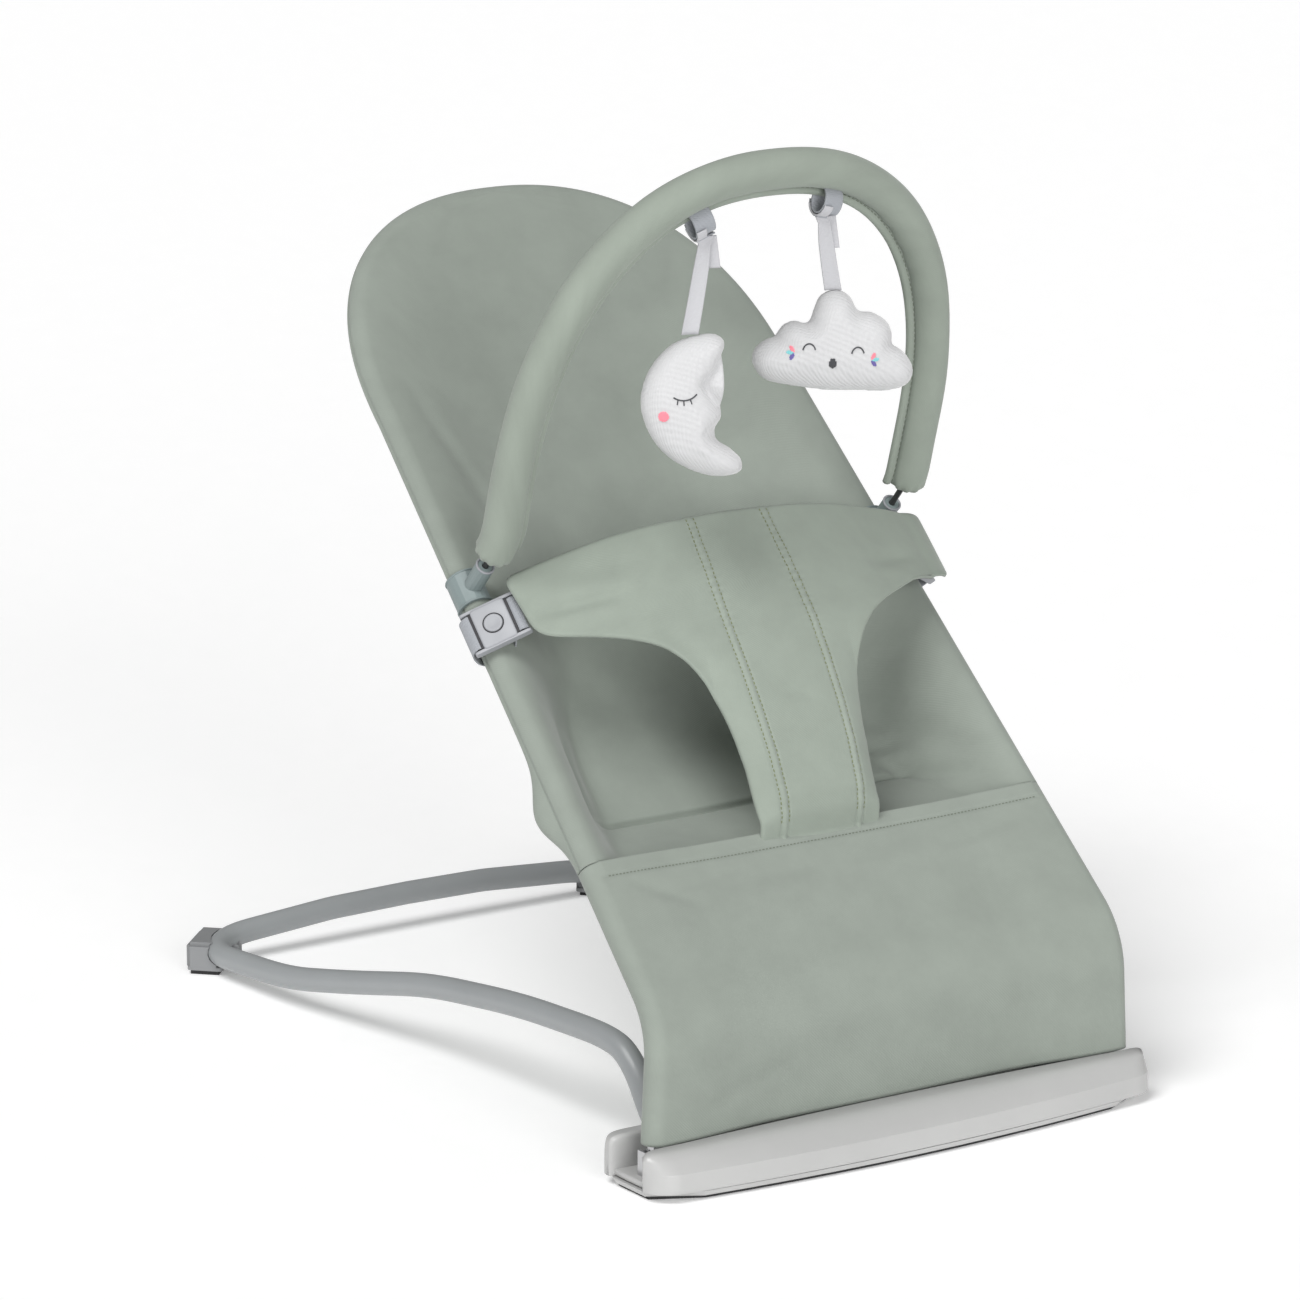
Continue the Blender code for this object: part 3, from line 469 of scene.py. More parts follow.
SAGE = woven("sage_satin", (0.262, 0.292, 0.258), 0.00055, 0.22)
SAGE_BAND = woven("sage_harness", (0.276, 0.314, 0.270), 0.00055, 0.24)
SAGE_BAR = woven("sage_bar", (0.270, 0.305, 0.262), 0.00060, 0.20)
WEBBING = woven("lilac_webbing", (0.330, 0.345, 0.370), 0.0009, 0.15, depth=0.0003)
RIBBON = woven("white_ribbon", (0.50, 0.50, 0.52), 0.0008, 0.15, amount=0.02, depth=0.0002)
PLUSH = woven("white_plush", (0.565, 0.565, 0.572), 0.0011, 0.55, 0.95, use_uv=False, amount=0.015, depth=0.0007)
THREAD, SAGE_THREAD, DARK_THREAD, PINK_THREAD, TEAL_THREAD, VIOLET_THREAD = (
    woven(f"{name}_thread", colour, 0.0004, 0.1, use_uv=False) for name, colour in (
        ("olive", (0.185, 0.205, 0.110)), ("sage", (0.150, 0.170, 0.135)), ("dark", (0.070, 0.072, 0.078)),
        ("pink", (0.86, 0.27, 0.33)), ("teal", (0.24, 0.60, 0.62)), ("violet", (0.16, 0.13, 0.36))))
PAINT = moulded("satin_grey_paint", (0.292, 0.306, 0.312), 0.42, coat=0.15)
PLATE = moulded("plate_gloss", (0.44, 0.44, 0.435), 0.34, coat=0.2, grain=0.00002)
CLIP = moulded("clip_grey_green", (0.205, 0.250, 0.250), 0.44)
LILAC = moulded("buckle_lilac_grey", (0.290, 0.298, 0.318), 0.42)
SLOT = moulded("slot_shadow", (0.035, 0.035, 0.038), 0.7)
FOOT = moulded("foot_grey", (0.225, 0.230, 0.235), 0.50)
RUBBER = moulded("dark_rubber", (0.022, 0.022, 0.023), 0.72, grain=0.0001)
STEEL = moulded("bright_steel", (0.56, 0.56, 0.57), 0.30, metallic=1.0)
WIRE = moulded("dark_wire", (0.060, 0.062, 0.062), 0.38, metallic=0.4)


# ---- seat fabric ------------------------------------------------------------------------------------
def head_edge(count):
    """Right half of the head loop's centre line as (x, distance), from its start to its top."""
    x, up = squarish(float(rail_x(HEAD_START)), HEAD_LENGTH, spread(count, 0.0, np.pi / 2))
    return x, HEAD_START + up


def rail_edge(straight, count):
    """Right half of the whole frame's centre line: the rail at the distances given, then the head loop."""
    head_x, head_d = head_edge(count)
    return np.concatenate([rail_x(straight), head_x[1:]]), np.concatenate([straight, head_d[1:]])


EDGE = np.stack(rail_edge(np.linspace(0, HEAD_START, 260), 200), 1)


def inside_rail(x, distance):
    """Distance from each point to the rail's centre line, in the seat's own plane."""
    x, distance = np.broadcast_arrays(np.abs(x), distance)
    return nearest(np.stack([x.ravel(), distance.ravel()], 1), EDGE, 40).reshape(x.shape)


SEAT_CREASES = [
    (-0.152, 0.270, -0.140, 0.360, 0.006, 0.0050), (-0.128, 0.290, -0.112, 0.390, 0.008, 0.0040),
    (0.168, 0.245, 0.110, 0.300, 0.006, 0.0050), (0.172, 0.262, 0.120, 0.345, 0.007, 0.0045),
    (0.150, 0.330, 0.080, 0.400, 0.010, 0.0030), (-0.165, 0.470, -0.085, 0.400, 0.012, 0.0025),
    (-0.120, 0.640, -0.060, 0.520, 0.022, 0.0030), (0.120, 0.630, 0.060, 0.520, 0.024, 0.0025),
    (-0.150, 0.640, -0.118, 0.480, 0.007, 0.0022), (0.150, 0.500, 0.100, 0.455, 0.010, 0.0030),
    (0.158, 0.420, 0.060, 0.385, 0.009, 0.0035), (0.150, 0.300, 0.075, 0.315, 0.006, 0.0040)]
LEG_CREASES = [
    (-0.12, 0.185, 0.02, 0.193, 0.006, 0.0010), (0.0, 0.172, 0.13, 0.178, 0.007, 0.0009),
    (-0.17, 0.03, -0.09, 0.05, 0.008, 0.0014), (-0.175, 0.205, -0.120, 0.175, 0.006, 0.0016),
    (0.175, 0.200, 0.090, 0.186, 0.006, 0.0018), (-0.150, 0.190, -0.060, 0.200, 0.005, 0.0012),
    (0.180, 0.090, 0.120, 0.110, 0.010, 0.0012)]


def seat_depth(distance):
    """How far the middle hangs behind the rails: deepest at the seat, shallow at the head."""
    at = [HEM, 0.2275, 0.240, 0.276, 0.284, 0.330, 0.380, 0.440, 0.500, 0.560, 0.640, 0.720, 0.800]
    depth = [0.002, 0.008, 0.017, 0.042, 0.0440, 0.0475, 0.044, 0.033, 0.024, 0.016, 0.009, 0.005, 0.001]
    return np.interp(distance, at, depth)


def seat_lift(x, distance):
    """Front of the seat's cloth: it leaves the rail's front flat, rolls over and hangs to seat_depth."""
    inside = inside_rail(x, distance)
    wall = np.interp(distance, [HEM, 0.25, 0.276, 0.30, 0.36, 0.46, 0.56, 0.80],
                     [0.036, 0.046, 0.058, 0.062, 0.068, 0.110, 0.140, 0.120])
    fall = smooth(0.0, 1.0, inside / wall)
    lift = COVER - (COVER + seat_depth(distance)) * fall
    folds = creases(x, distance, SEAT_CREASES)
    folds = folds - 0.0050 * bump(distance, 0.2775, 0.0026) * (1 - smooth(0.115, 0.148, np.abs(x)))
    soft = ripple(x, distance, 3, 0.035) * 0.0012 * smooth(0.01, 0.05, inside)
    return lift + folds * smooth(0.0, 0.012, inside) + soft


def wrap_round(edge_x, edge_d, out_x, out_d, inner_end, hang):
    """Columns that carry the cloth from the rail's front round its outside to behind the panel.

    A half circle round the rail, then a curve to a point inner_end inside the rail, just behind the panel.
    hang widens the back of that half circle, and draws the curve after it back towards the panel."""
    turn = np.linspace(0, np.pi, 37)[1:][None]
    ex, ed, ox, od = (np.asarray(v)[:, None] for v in (edge_x, edge_d, out_x, out_d))
    round_rail = COVER - 0.0013 * bump(turn, math.radians(88), 0.075)
    round_rail = round_rail + hang[:, None] * smooth(math.radians(92), math.radians(140), turn)
    reach_out, reach_lift = round_rail * np.sin(turn), round_rail * np.cos(turn)
    x, d, lift = ex + reach_out * ox, ed + reach_out * od, reach_lift
    end_x, end_d = ex - inner_end[:, None] * ox, ed - inner_end[:, None] * od
    end_lift = seat_lift(end_x, end_d) - 0.0022
    t = np.linspace(0, 1, 15)[1:][None]
    under = lift[:, -1:]
    pull = under + hang[:, None] * 0.3
    mid = inner_end[:, None] * 0.25
    parts = ((x, quadratic(ex, ex - mid * ox, end_x, t)), (d, quadratic(ed, ed - mid * od, end_d, t)),
             (lift, quadratic(under, pull, end_lift, t)))
    return [np.concatenate(part, 1) for part in parts]


def both_sides(panel, wrap):
    """Columns of a symmetric cloth: the left wrap, the panel, then the right wrap. The first of each is x."""
    mirrored = [-wrap[0][:, ::-1]] + [part[:, ::-1] for part in wrap[1:]]
    return [np.concatenate(parts, 1) for parts in zip(mirrored, panel, wrap)]


def build_seat_cloth():
    """One cloth from the hem to the head: the panel between the rails and its tunnels round them.

    Rows follow the rail at even distances, then the head loop; columns cross the panel and go round the rail."""
    straight = np.concatenate([np.linspace(HEM + 0.0012, 0.268, 22), np.linspace(0.2695, 0.286, 14),
                               np.linspace(0.290, HEAD_START, 78)])
    edge_x, edge_d = rail_edge(straight, 64)
    edge_x[-1] = 0.0
    run = unit(np.stack([np.gradient(edge_x), np.gradient(edge_d)], 1))
    out_x, out_d = run[:, 1], -run[:, 0]
    out_x[-1], out_d[-1] = 0.0, 1.0
    inner_end = 0.021 * np.interp(edge_d, [HEAD_START, 0.74, 0.80], [1, 0.9, 0.6])
    hang = 0.0125 * bump(edge_d, 0.276, 0.026)
    wrap = wrap_round(edge_x, edge_d, out_x, out_d, inner_end, hang)
    across = spread(91, -1, 1, 0.35)[None]
    px = across * edge_x[:, None]
    pd = np.repeat(edge_d[:, None], 91, 1)
    made = cloth_sheet("seat_cloth", on_seat(*both_sides([px, pd, seat_lift(px, pd)], wrap)), SAGE)
    held(made, "seat", "sage_fabric", "back_panel", "seat_pocket", "cover_sleeve")


def build_leg_cloth():
    """The panel in front of the sitter's legs, with its tunnels, from inside the plate to the folded hem."""
    d = np.concatenate([np.linspace(0.012, 0.200, 74), np.linspace(0.2015, HEM + 0.0008, 22)])
    across = spread(101, -1, 1, 0.3)[None]
    edge = rail_x(d)
    px = across * edge[:, None]
    pd = np.repeat(d[:, None], 101, 1)
    inside = np.abs(edge[:, None]) - np.abs(px)
    hollow = 0.0035 * np.sin(np.pi * np.clip((pd - 0.02) / 0.2, 0, 1)) * smooth(0, 0.09, inside)
    hem = smooth(HEM - 0.0122, HEM - 0.0105, pd)
    tuck = -0.0012 * bump(pd, HEM_SEAM, 0.0011) + 0.0013 * hem
    hollow = hollow + 0.0062 * (1 - smooth(0.012, 0.090, pd)) * smooth(0, 0.10, inside)
    dip = -0.0030 * smooth(HEM - 0.05, HEM, pd) * smooth(0, 0.10, inside)
    waves = ripple(px, pd, 8, 0.022) * 0.0007 + ripple(px * 0.6, pd * 2.6, 5, 0.030) * 0.0011
    pulls = creases(px, pd, LEG_CREASES)
    lift = COVER - hollow + dip + tuck + (waves + pulls) * smooth(0, 0.03, inside)
    turn = np.linspace(0, np.pi * 1.30, 22)[1:][None]
    wx = edge[:, None] + COVER * np.sin(turn)
    wrap = [wx, d[:, None] + 0 * wx, COVER * np.cos(turn) + 0 * wx]
    made = cloth_sheet("leg_cloth", on_seat(*both_sides([px, pd, lift], wrap)), SAGE, 0.0016)
    held(made, "seat", "sage_fabric", "leg_panel")
    at = HEM_SEAM
    seam_x = np.linspace(-0.985, 0.985, 220) * float(rail_x(at))
    gap = float(rail_x(at)) - np.abs(seam_x)
    seam_lift = COVER - 0.0006 - 0.0030 * smooth(HEM - 0.05, HEM, at) * smooth(0, 0.10, gap)
    seam_lift = seam_lift - 0.0035 * math.sin(math.pi * (at - 0.02) / 0.2) * smooth(0, 0.09, gap)
    path, up = sewn_on(surface(made), seam_x, np.full_like(seam_x, at), seam_lift)
    held(stitches("hem_stitches", path, up, SAGE_THREAD, 0.0030, 0.0021, 0.00035), "seat", "sage_fabric")


# ---- harness ----------------------------------------------------------------------------------------
WIDTH_AT = np.array([0.000, 0.040, 0.065, 0.085, 0.105, 0.122, 0.137, 0.150, 0.161, 0.170, 0.180, 0.2235])
WIDTH = np.array([0.0515, 0.0525, 0.0550, 0.0590, 0.0660, 0.0765, 0.0920, 0.115, 0.142, 0.163, 0.1690, 0.1720])
SEAM_AT = np.array([0.0, 0.017, 0.074, 0.136, 0.2255])
SEAM_X = np.array([0.0325, 0.033, 0.035, 0.036, 0.032])
WING_END, WING_BEND = 0.171, 0.026    # where the right wing begins to bend down, and the radius of the bend
HARNESS_CREASES = [
    (-0.165, 0.190, -0.100, 0.182, 0.006, 0.0035), (-0.150, 0.214, -0.080, 0.202, 0.010, 0.0020),
    (0.160, 0.186, 0.105, 0.178, 0.006, 0.0030), (-0.014, 0.085, 0.018, 0.080, 0.004, 0.0008),
    (-0.052, 0.090, -0.085, 0.150, 0.008, 0.0016)]


def eased(value, at, of):
    """Smooth curve through points, by easing a fine linear interpolation."""
    fine = np.linspace(at[0], at[-1], 400)
    rough = np.interp(fine, at, of)
    kernel = np.hanning(41)
    padded = np.concatenate([np.full(20, rough[0]), rough, np.full(20, rough[-1])])
    return np.interp(value, fine, np.convolve(padded, kernel / kernel.sum(), "valid"))


def band_lift(x, s):
    """Height of the harness above the rail's centre line: a ridge that falls away to its sides."""
    w = np.abs(x)
    ridge = np.interp(s, [-0.012, -0.003, 0.006, 0.017, 0.045, 0.074, 0.105, 0.136, 0.180, 0.230],
                      [-0.0100, -0.0040, 0.0100, 0.0195, 0.0325, 0.0420, 0.0500, 0.0563, 0.0625, 0.0680])
    t = np.clip((w - 0.030) / 0.145, 0, 1.05)
    wing = (ridge - 0.026) * t ** 2.0
    stem = 0.013 * np.clip((w - 0.030) / 0.024, 0, 1.3) ** 2
    stem = stem * (1 - smooth(0.030, 0.140, s)) * smooth(-0.004, 0.02, s)
    crown = 0.0015 * (1 - np.clip(w / 0.036, 0, 1) ** 2)
    return 0.0105 + ridge - wing * smooth(0.02, 0.16, s) - stem + crown


def band_point(x, s):
    """Middle of the harness's thickness; its right end is longer and bends down over the rail."""
    bend = np.maximum(x - WING_END, 0.0) / WING_BEND
    level = np.minimum(x, WING_END)
    lift = band_lift(level, s) - WING_BEND * (1 - np.cos(bend)) + 0.004 * smooth(0.12, WING_END, x)
    return on_seat(level + WING_BEND * np.sin(bend), STEM_START + s, lift)


def build_harness():
    """Padded T: columns follow the width at each height, thickness dies away to nothing at the outline."""
    s = np.concatenate([np.linspace(-0.0115, -0.001, 9), np.linspace(0.0, 0.118, 52),
                        np.linspace(0.120, 0.184, 60), np.linspace(0.186, 0.2285, 26)])
    across = np.linspace(-1, 1, 151)
    width = eased(s, WIDTH_AT, WIDTH)
    width = width - 0.0050 * (1 - np.sqrt(1 - ((s - 0.2205) / 0.008).clip(0, 1) ** 2))
    longer = 0.036 * smooth(0.150, 0.168, width)
    x = across[None] * width[:, None] + longer[:, None] * np.clip(across[None], 0, 1) ** 2
    top = 0.0022 * (np.abs(x) / 0.17) ** 2 * smooth(0.19, 0.2285, s)[:, None]
    ss = s[:, None] - top
    seam = eased(ss, SEAM_AT, SEAM_X)
    from_seam = np.abs(x) - seam
    ridge = 0.0009 * bump(from_seam, 0.0, 0.0022) - 0.0007 * (bump(from_seam, 0.0031, 0.0009)
                                                              + bump(from_seam, -0.0031, 0.0009))
    pucker = 0.00035 * np.sin(ss * 2 * np.pi / 0.0065) * bump(from_seam, 0, 0.006)
    soft = ripple(x, ss, 12, 0.022) * 0.0010
    lift = ridge + pucker + soft + creases(x, ss, HARNESS_CREASES)
    rim = np.stack([np.concatenate([width + longer, -width, x[0], x[-1]]),
                    np.concatenate([s, s, np.full(151, s[0]), np.full(151, s[-1])])], 1)
    flat = np.stack([x.ravel(), np.repeat(s, 151)], 1)
    half = PAD_HALF * dome(nearest(flat, rim).reshape(x.shape) / 0.0030)
    base = band_point(x, ss)
    up = unit(np.cross(np.gradient(base, axis=1), np.gradient(base, axis=0)))
    front = base + up * (lift + half)[..., None]
    back = base + up * (lift - half - 0.0001)[..., None]
    faces, count = grid_faces(*x.shape), x.size
    index = np.arange(count).reshape(x.shape)
    loop = np.concatenate([index[0], index[1:, -1], index[-1, -2::-1], index[-2:0:-1, 0]])
    following = np.roll(loop, -1)
    side_faces = np.stack([loop, following, following + count, loop + count], 1)
    every = np.concatenate([faces, faces[:, ::-1] + count, side_faces[:, ::-1]])
    points = np.concatenate([front.reshape(-1, 3), back.reshape(-1, 3)])
    uv = np.concatenate([metres(front).reshape(-1, 2), metres(back).reshape(-1, 2)])
    band = make("harness_pad", points, every, SAGE_BAND, uv, weld=1e-6, turn=True)
    held(band, "seat", "sage_fabric", "harness", pad=0.25)
    pad = surface(band)
    for label, side in SIDES:
        for row, offset in (("inner", -0.0031), ("outer", 0.0031)):
            ts = np.linspace(0.002, 0.2265, 300)
            sx = side * (eased(ts, SEAM_AT, SEAM_X) + offset)
            path, up = sewn_on(pad, sx, STEM_START + ts, band_lift(sx, ts) + PAD_HALF - 0.0003)
            thread = stitches(f"harness_stitches_{row}_{label}", path, up, THREAD, 0.0034, 0.0025, 0.00042)
            held(thread, "seat", "sage_fabric")


# ---- buckles and straps -----------------------------------------------------------------------------
def build_buckles():
    """A flat plate in two cheeks on each rail, with a slot at either end, a round button and its webbing."""
    under = 0.0135  # clears the rail's cloth and the webbing
    for label, side in SIDES:
        place = rail_place(side, BUCKLE_DISTANCE) @ Matrix.Rotation(side * BUCKLE_TILT, 4, "Y")
        face = under + 0.0075

        def at(x, y, z, place=place, shift=-side * 0.008):
            return place @ Matrix.Translation((shift + x, y, z))

        body = block(f"buckle_body_{label}", (0.0262, 0.0330, 0.0068), at(0, 0, under + 0.0036), LILAC, 0.14)
        held(body, "seat", "buckle_plastic", f"buckle_{label}")
        for end, where in (("inner", -side * 0.0140), ("outer", side * 0.0140)):
            gap = block(f"buckle_slot_{end}_{label}", (0.0022, 0.0300, 0.0050), at(where, 0, under + 0.0040),
                        SLOT, 0.2, (14, 20))
            held(gap, "seat", "buckle_plastic")
        for end, where in (("low", -0.0163), ("high", 0.0163)):
            cheek = block(f"buckle_cheek_{end}_{label}", (0.0440, 0.0026, 0.0058),
                          at(-side * 0.0012, where, under + 0.0034), LILAC, 0.22)
            held(cheek, "seat", "buckle_plastic")
        held(closed_ring(f"button_ring_{label}", at(0, 0, face - 0.0002), 48, 0.00745, 0.00042, SLOT),
             "seat", "buckle_plastic")
        top = face + 0.0006
        r = np.array([0.0070, 0.0070, 0.0067, 0.0060, 0.0040, 0.0020, 0.0])
        z = top - np.array([0.0028, 0.0006, 0.0001, 0.0001, 0.0004, 0.0006, 0.0007])
        button = turned(f"buckle_button_cap_{label}", r, z, at(0, 0, 0), LILAC)
        held(button, f"button_{label}", "buckle_plastic", f"buckle_button_{label}")
        band = cloth_sheet(f"harness_webbing_{label}", strap_loop(side, place), WEBBING, 0.0011, weld=0.0)
        held(band, "seat", "pale_webbing", f"harness_strap_{label}")


def strap_loop(side, place):
    """Webbing out of the buckle's outer slot, down round the back of the rail and up into the inner slot."""
    route = np.array([(0.0050, 0.0178), (0.0074, 0.0196), (0.0112, 0.0186), (0.0150, 0.0140), (0.0158, 0.0060),
                      (0.0138, -0.0040), (0.0080, -0.0115), (0.0, -0.0135), (-0.0090, -0.0105), (-0.0150, -0.0020),
                      (-0.0185, 0.0080), (-0.0262, 0.0150), (-0.0300, 0.0175), (-0.0262, 0.0198),
                      (-0.0228, 0.0190)])
    t = np.linspace(0, len(route) - 1.001, 90)
    k = t.astype(int)
    f = (t - k)[:, None]
    q = np.concatenate([route[:1], route, route[-1:]])
    line = through(*(q[np.minimum(k + step, len(q) - 1)] for step in range(4)), f)
    y = np.linspace(-0.0138, 0.0138, 59)
    rib = 0.00022 * np.sin(y * 2 * np.pi / 0.0020)[None] * (0.6 + 0.4 * np.sin(t * 9.0))[:, None]
    x = side * np.repeat(line[:, :1], 59, 1)
    local = np.stack([x, np.repeat(y[None], 90, 0), line[:, 1:] + rib], -1)
    matrix = np.array(place)
    world = local @ matrix[:3, :3].T + matrix[:3, 3]
    return world[:, ::-1] if side > 0 else world


def closed_ring(name, place, count, ring_radius, radius, material, axis=2, height=0.0):
    """Thin round cord bent into a ring about one axis of a place, at a height along it."""
    angle = np.linspace(0, 2 * np.pi, count + 1)[:-1]
    flat = np.insert(ring_radius * np.stack([np.cos(angle), np.sin(angle)], 1), axis, height, 1)
    points = np.array([place @ Vector(p) for p in flat])
    normal = np.array(place.to_3x3() @ Vector(np.eye(3)[axis]))
    tangent = unit(np.roll(points, -1, 0) - np.roll(points, 1, 0))
    side = np.cross(tangent, normal)
    angle = np.linspace(0, 2 * np.pi, 10, endpoint=False)[None, :, None]
    grid = points[:, None] + radius * (side[:, None] * np.cos(angle) + normal[None, None] * np.sin(angle))
    faces = grid_faces(count, 10, close_rows=True, close_columns=True)
    return make(name, grid, faces, material, turn=True)


def turned(name, radius, height, place, material, sides=40):
    """Solid of revolution about its own Z from a profile of radius against height, closed at both ends."""
    radius, height = np.concatenate([[0.0], radius]), np.concatenate([height[:1], height])
    angle = np.linspace(0, 2 * np.pi, sides, endpoint=False)[None]
    grid = np.stack([radius[:, None] * np.cos(angle), radius[:, None] * np.sin(angle), height[:, None] + 0 * angle],
                    -1)
    made = make(name, grid, grid_faces(len(radius), sides, close_columns=True), material, weld=1e-7, turn=True)
    made.data.transform(place)
    return made


# ---- toy bar ----------------------------------------------------------------------------------------
def in_bar(x, height):
    """Point of the arch's leaning plane."""
    y, z, _ = station(CLIP_DISTANCE)
    y, z = float(y) - BAR_FORWARD, float(z) + BAR_ABOVE
    parts = (x, y - np.asarray(height) * math.sin(BAR_LEAN), z + np.asarray(height) * math.cos(BAR_LEAN))
    return np.stack(np.broadcast_arrays(*parts), -1)


def bar_height(x):
    share = 1 - (np.abs(x) / BAR_HALF_WIDTH) ** SQUARENESS
    return BAR_LIMB + BAR_ARCH * share ** (1 / SQUARENESS)


def bar_centre(start, step):
    """Arch centre line from one limb's end over the top to the other's."""
    x, up = squarish(BAR_HALF_WIDTH, BAR_ARCH, np.linspace(0, np.pi / 2, 200))
    x[-1] = 0.0
    limb = in_bar(np.full(12, BAR_HALF_WIDTH), np.linspace(start, BAR_LIMB, 12, endpoint=False))
    return even(mirror_path(np.concatenate([limb, in_bar(x, BAR_LIMB + up)])), step)


def build_toy_bar():
    """Padded sleeve with a sewn flange on its inner side, and the wire that shows below its ends.

    The sleeve's radius is a slow ripple round a mean, with folds on the inner side of the shoulders, and
    gathered ends that shrink to the wire."""
    place = seat_place(BAR_HALF_WIDTH, CLIP_DISTANCE)
    out = np.array(place.to_3x3() @ Vector((0, 0, 1)))
    bottom = np.array(place @ Vector((0, 0, SOCKET_HEIGHT - WIRE_INSERTION)))
    start = in_bar(BAR_HALF_WIDTH, 0.030)
    down = unit(in_bar(0.0, -1.0) - in_bar(0.0, 0.0))
    mouth = bottom + out * (WIRE_INSERTION + 0.002)
    pull = np.linalg.norm(start - mouth) * 0.36
    t = np.linspace(0, 1, 24)[:, None]
    bend = (mouth * (1 - t) ** 3 + (mouth + out * pull) * 3 * t * (1 - t) ** 2
            + (start + down * pull) * 3 * t ** 2 * (1 - t) + start * t ** 3)
    arch = bar_centre(0.034, BAR_STEP)
    low = bend[::-1]
    path = even(np.concatenate([arch, (low * [-1, 1, 1])[:19]]), BAR_STEP)
    if path[0][0] < path[-1][0]:
        path = path[::-1]
    right_end = even(np.concatenate([low[:13][::-1], arch[:1]]), BAR_STEP)
    path = even(np.concatenate([right_end, path[1:]]), BAR_STEP)
    count, sides = len(path), 56
    tangent = unit(np.gradient(path, axis=0))
    out_of_plane = np.array([0, -math.cos(BAR_LEAN), -math.sin(BAR_LEAN)])
    inner = unit(np.cross(tangent, out_of_plane))
    middle = in_bar(0.0, 0.10)
    inner = inner * np.sign(np.sum(inner * (middle - path), 1))[:, None]
    frames = (tangent, inner, np.cross(tangent, inner))
    run = np.arange(count) * BAR_STEP
    from_end = np.minimum(run, run[::-1])
    angle = np.linspace(0, 2 * np.pi, sides, endpoint=False)[None]
    radius = PADDING * np.maximum(dome(from_end / 0.009), 0.16)[:, None] + 0 * angle
    shoulder = bump(np.abs(run - run[-1] / 2), 0.150, 0.055)[:, None]
    facing = np.maximum(np.cos(angle), 0) ** 1.5
    radius = radius - 0.0011 * shoulder * facing * (0.5 + 0.5 * np.sin(run * 2 * np.pi / 0.026))[:, None]
    radius = radius + ripple(run[:, None], angle * 0.03, 21, 0.018) * 0.00045
    gathers = bump(from_end, 0.004, 0.005)[:, None]
    radius = radius * (1 + 0.07 * gathers * np.cos(11 * angle + 0.6))
    sleeve = swept("toy_bar_padding", path, radius, SAGE_BAR, sides, frames)
    held(sleeve, "toy_bar", "sage_fabric", "toy_bar_sleeve", pad=0.8)
    keep = slice(3, count - 3)
    ribs, reach, side_dir = path[keep], frames[1][keep], frames[2][keep]
    near = np.array([(0.0128, 0.0008), (0.0142, 0.0010), (0.0160, 0.0024), (0.0185, 0.0028), (0.0203, 0.0018),
                     (0.0208, 0.0)])
    profile = np.concatenate([near, near[-2::-1] * [1, -1]])
    sewn = len(profile)
    wobble = (ripple(run[keep], 0 * run[keep], 31, 0.012) * 0.0005)[:, None, None]
    flange = (ribs[:, None] + reach[:, None] * (profile[None, :, :1] + wobble * 0.5)
              + side_dir[:, None] * (profile[None, :, 1:] + wobble * 0.4))
    faces = grid_faces(*flange.shape[:2], close_columns=True)
    last = flange.shape[0] * sewn
    ends = [list(range(sewn))[::-1], list(range(last - sewn, last))]
    mesh = make("toy_bar_seam", flange, faces, SAGE_BAR, metres(flange))
    cap = bmesh.new()
    cap.from_mesh(mesh.data)
    cap.verts.ensure_lookup_table()
    for loop in ends:
        cap.faces.new([cap.verts[i] for i in loop])
    bmesh.ops.recalc_face_normals(cap, faces=cap.faces)
    cap.to_mesh(mesh.data)
    cap.free()
    mesh.data.shade_smooth()
    held(mesh, "toy_bar", "sage_fabric")
    line, side_dir = laid_on(surface(mesh), ribs + reach * 0.0150, side_dir, 0.006)
    held(stitches("toy_bar_stitches", line, side_dir, SAGE_THREAD, 0.0045, 0.0034, 0.00035,
                  gaps=[x for _, x in TOYS_AT]), "toy_bar", "sage_fabric")
    half = np.concatenate([bottom[None], bend])
    for label, side in SIDES:
        wire = swept(f"toy_bar_rod_{label}", half * [side, 1, 1], 0.00225, WIRE, 16)
        held(wire, "toy_bar", "dark_wire")
    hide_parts("toy_bar_wire")


def bar_tangent(x):
    return unit(in_bar(x + 0.002, bar_height(x + 0.002)) - in_bar(x - 0.002, bar_height(x - 0.002)))


# ---- plush toys -------------------------------------------------------------------------------------
def closed_curve(points, per_span=10):
    """Catmull-Rom curve through a ring of points."""
    p = np.asarray(points, float)
    a, b, c, d = (np.roll(p, k, 0)[:, None] for k in (1, 0, -1, -2))
    t = np.linspace(0, 1, per_span, endpoint=False)[None, :, None]
    return through(a, b, c, d, t).reshape(-1, 2)


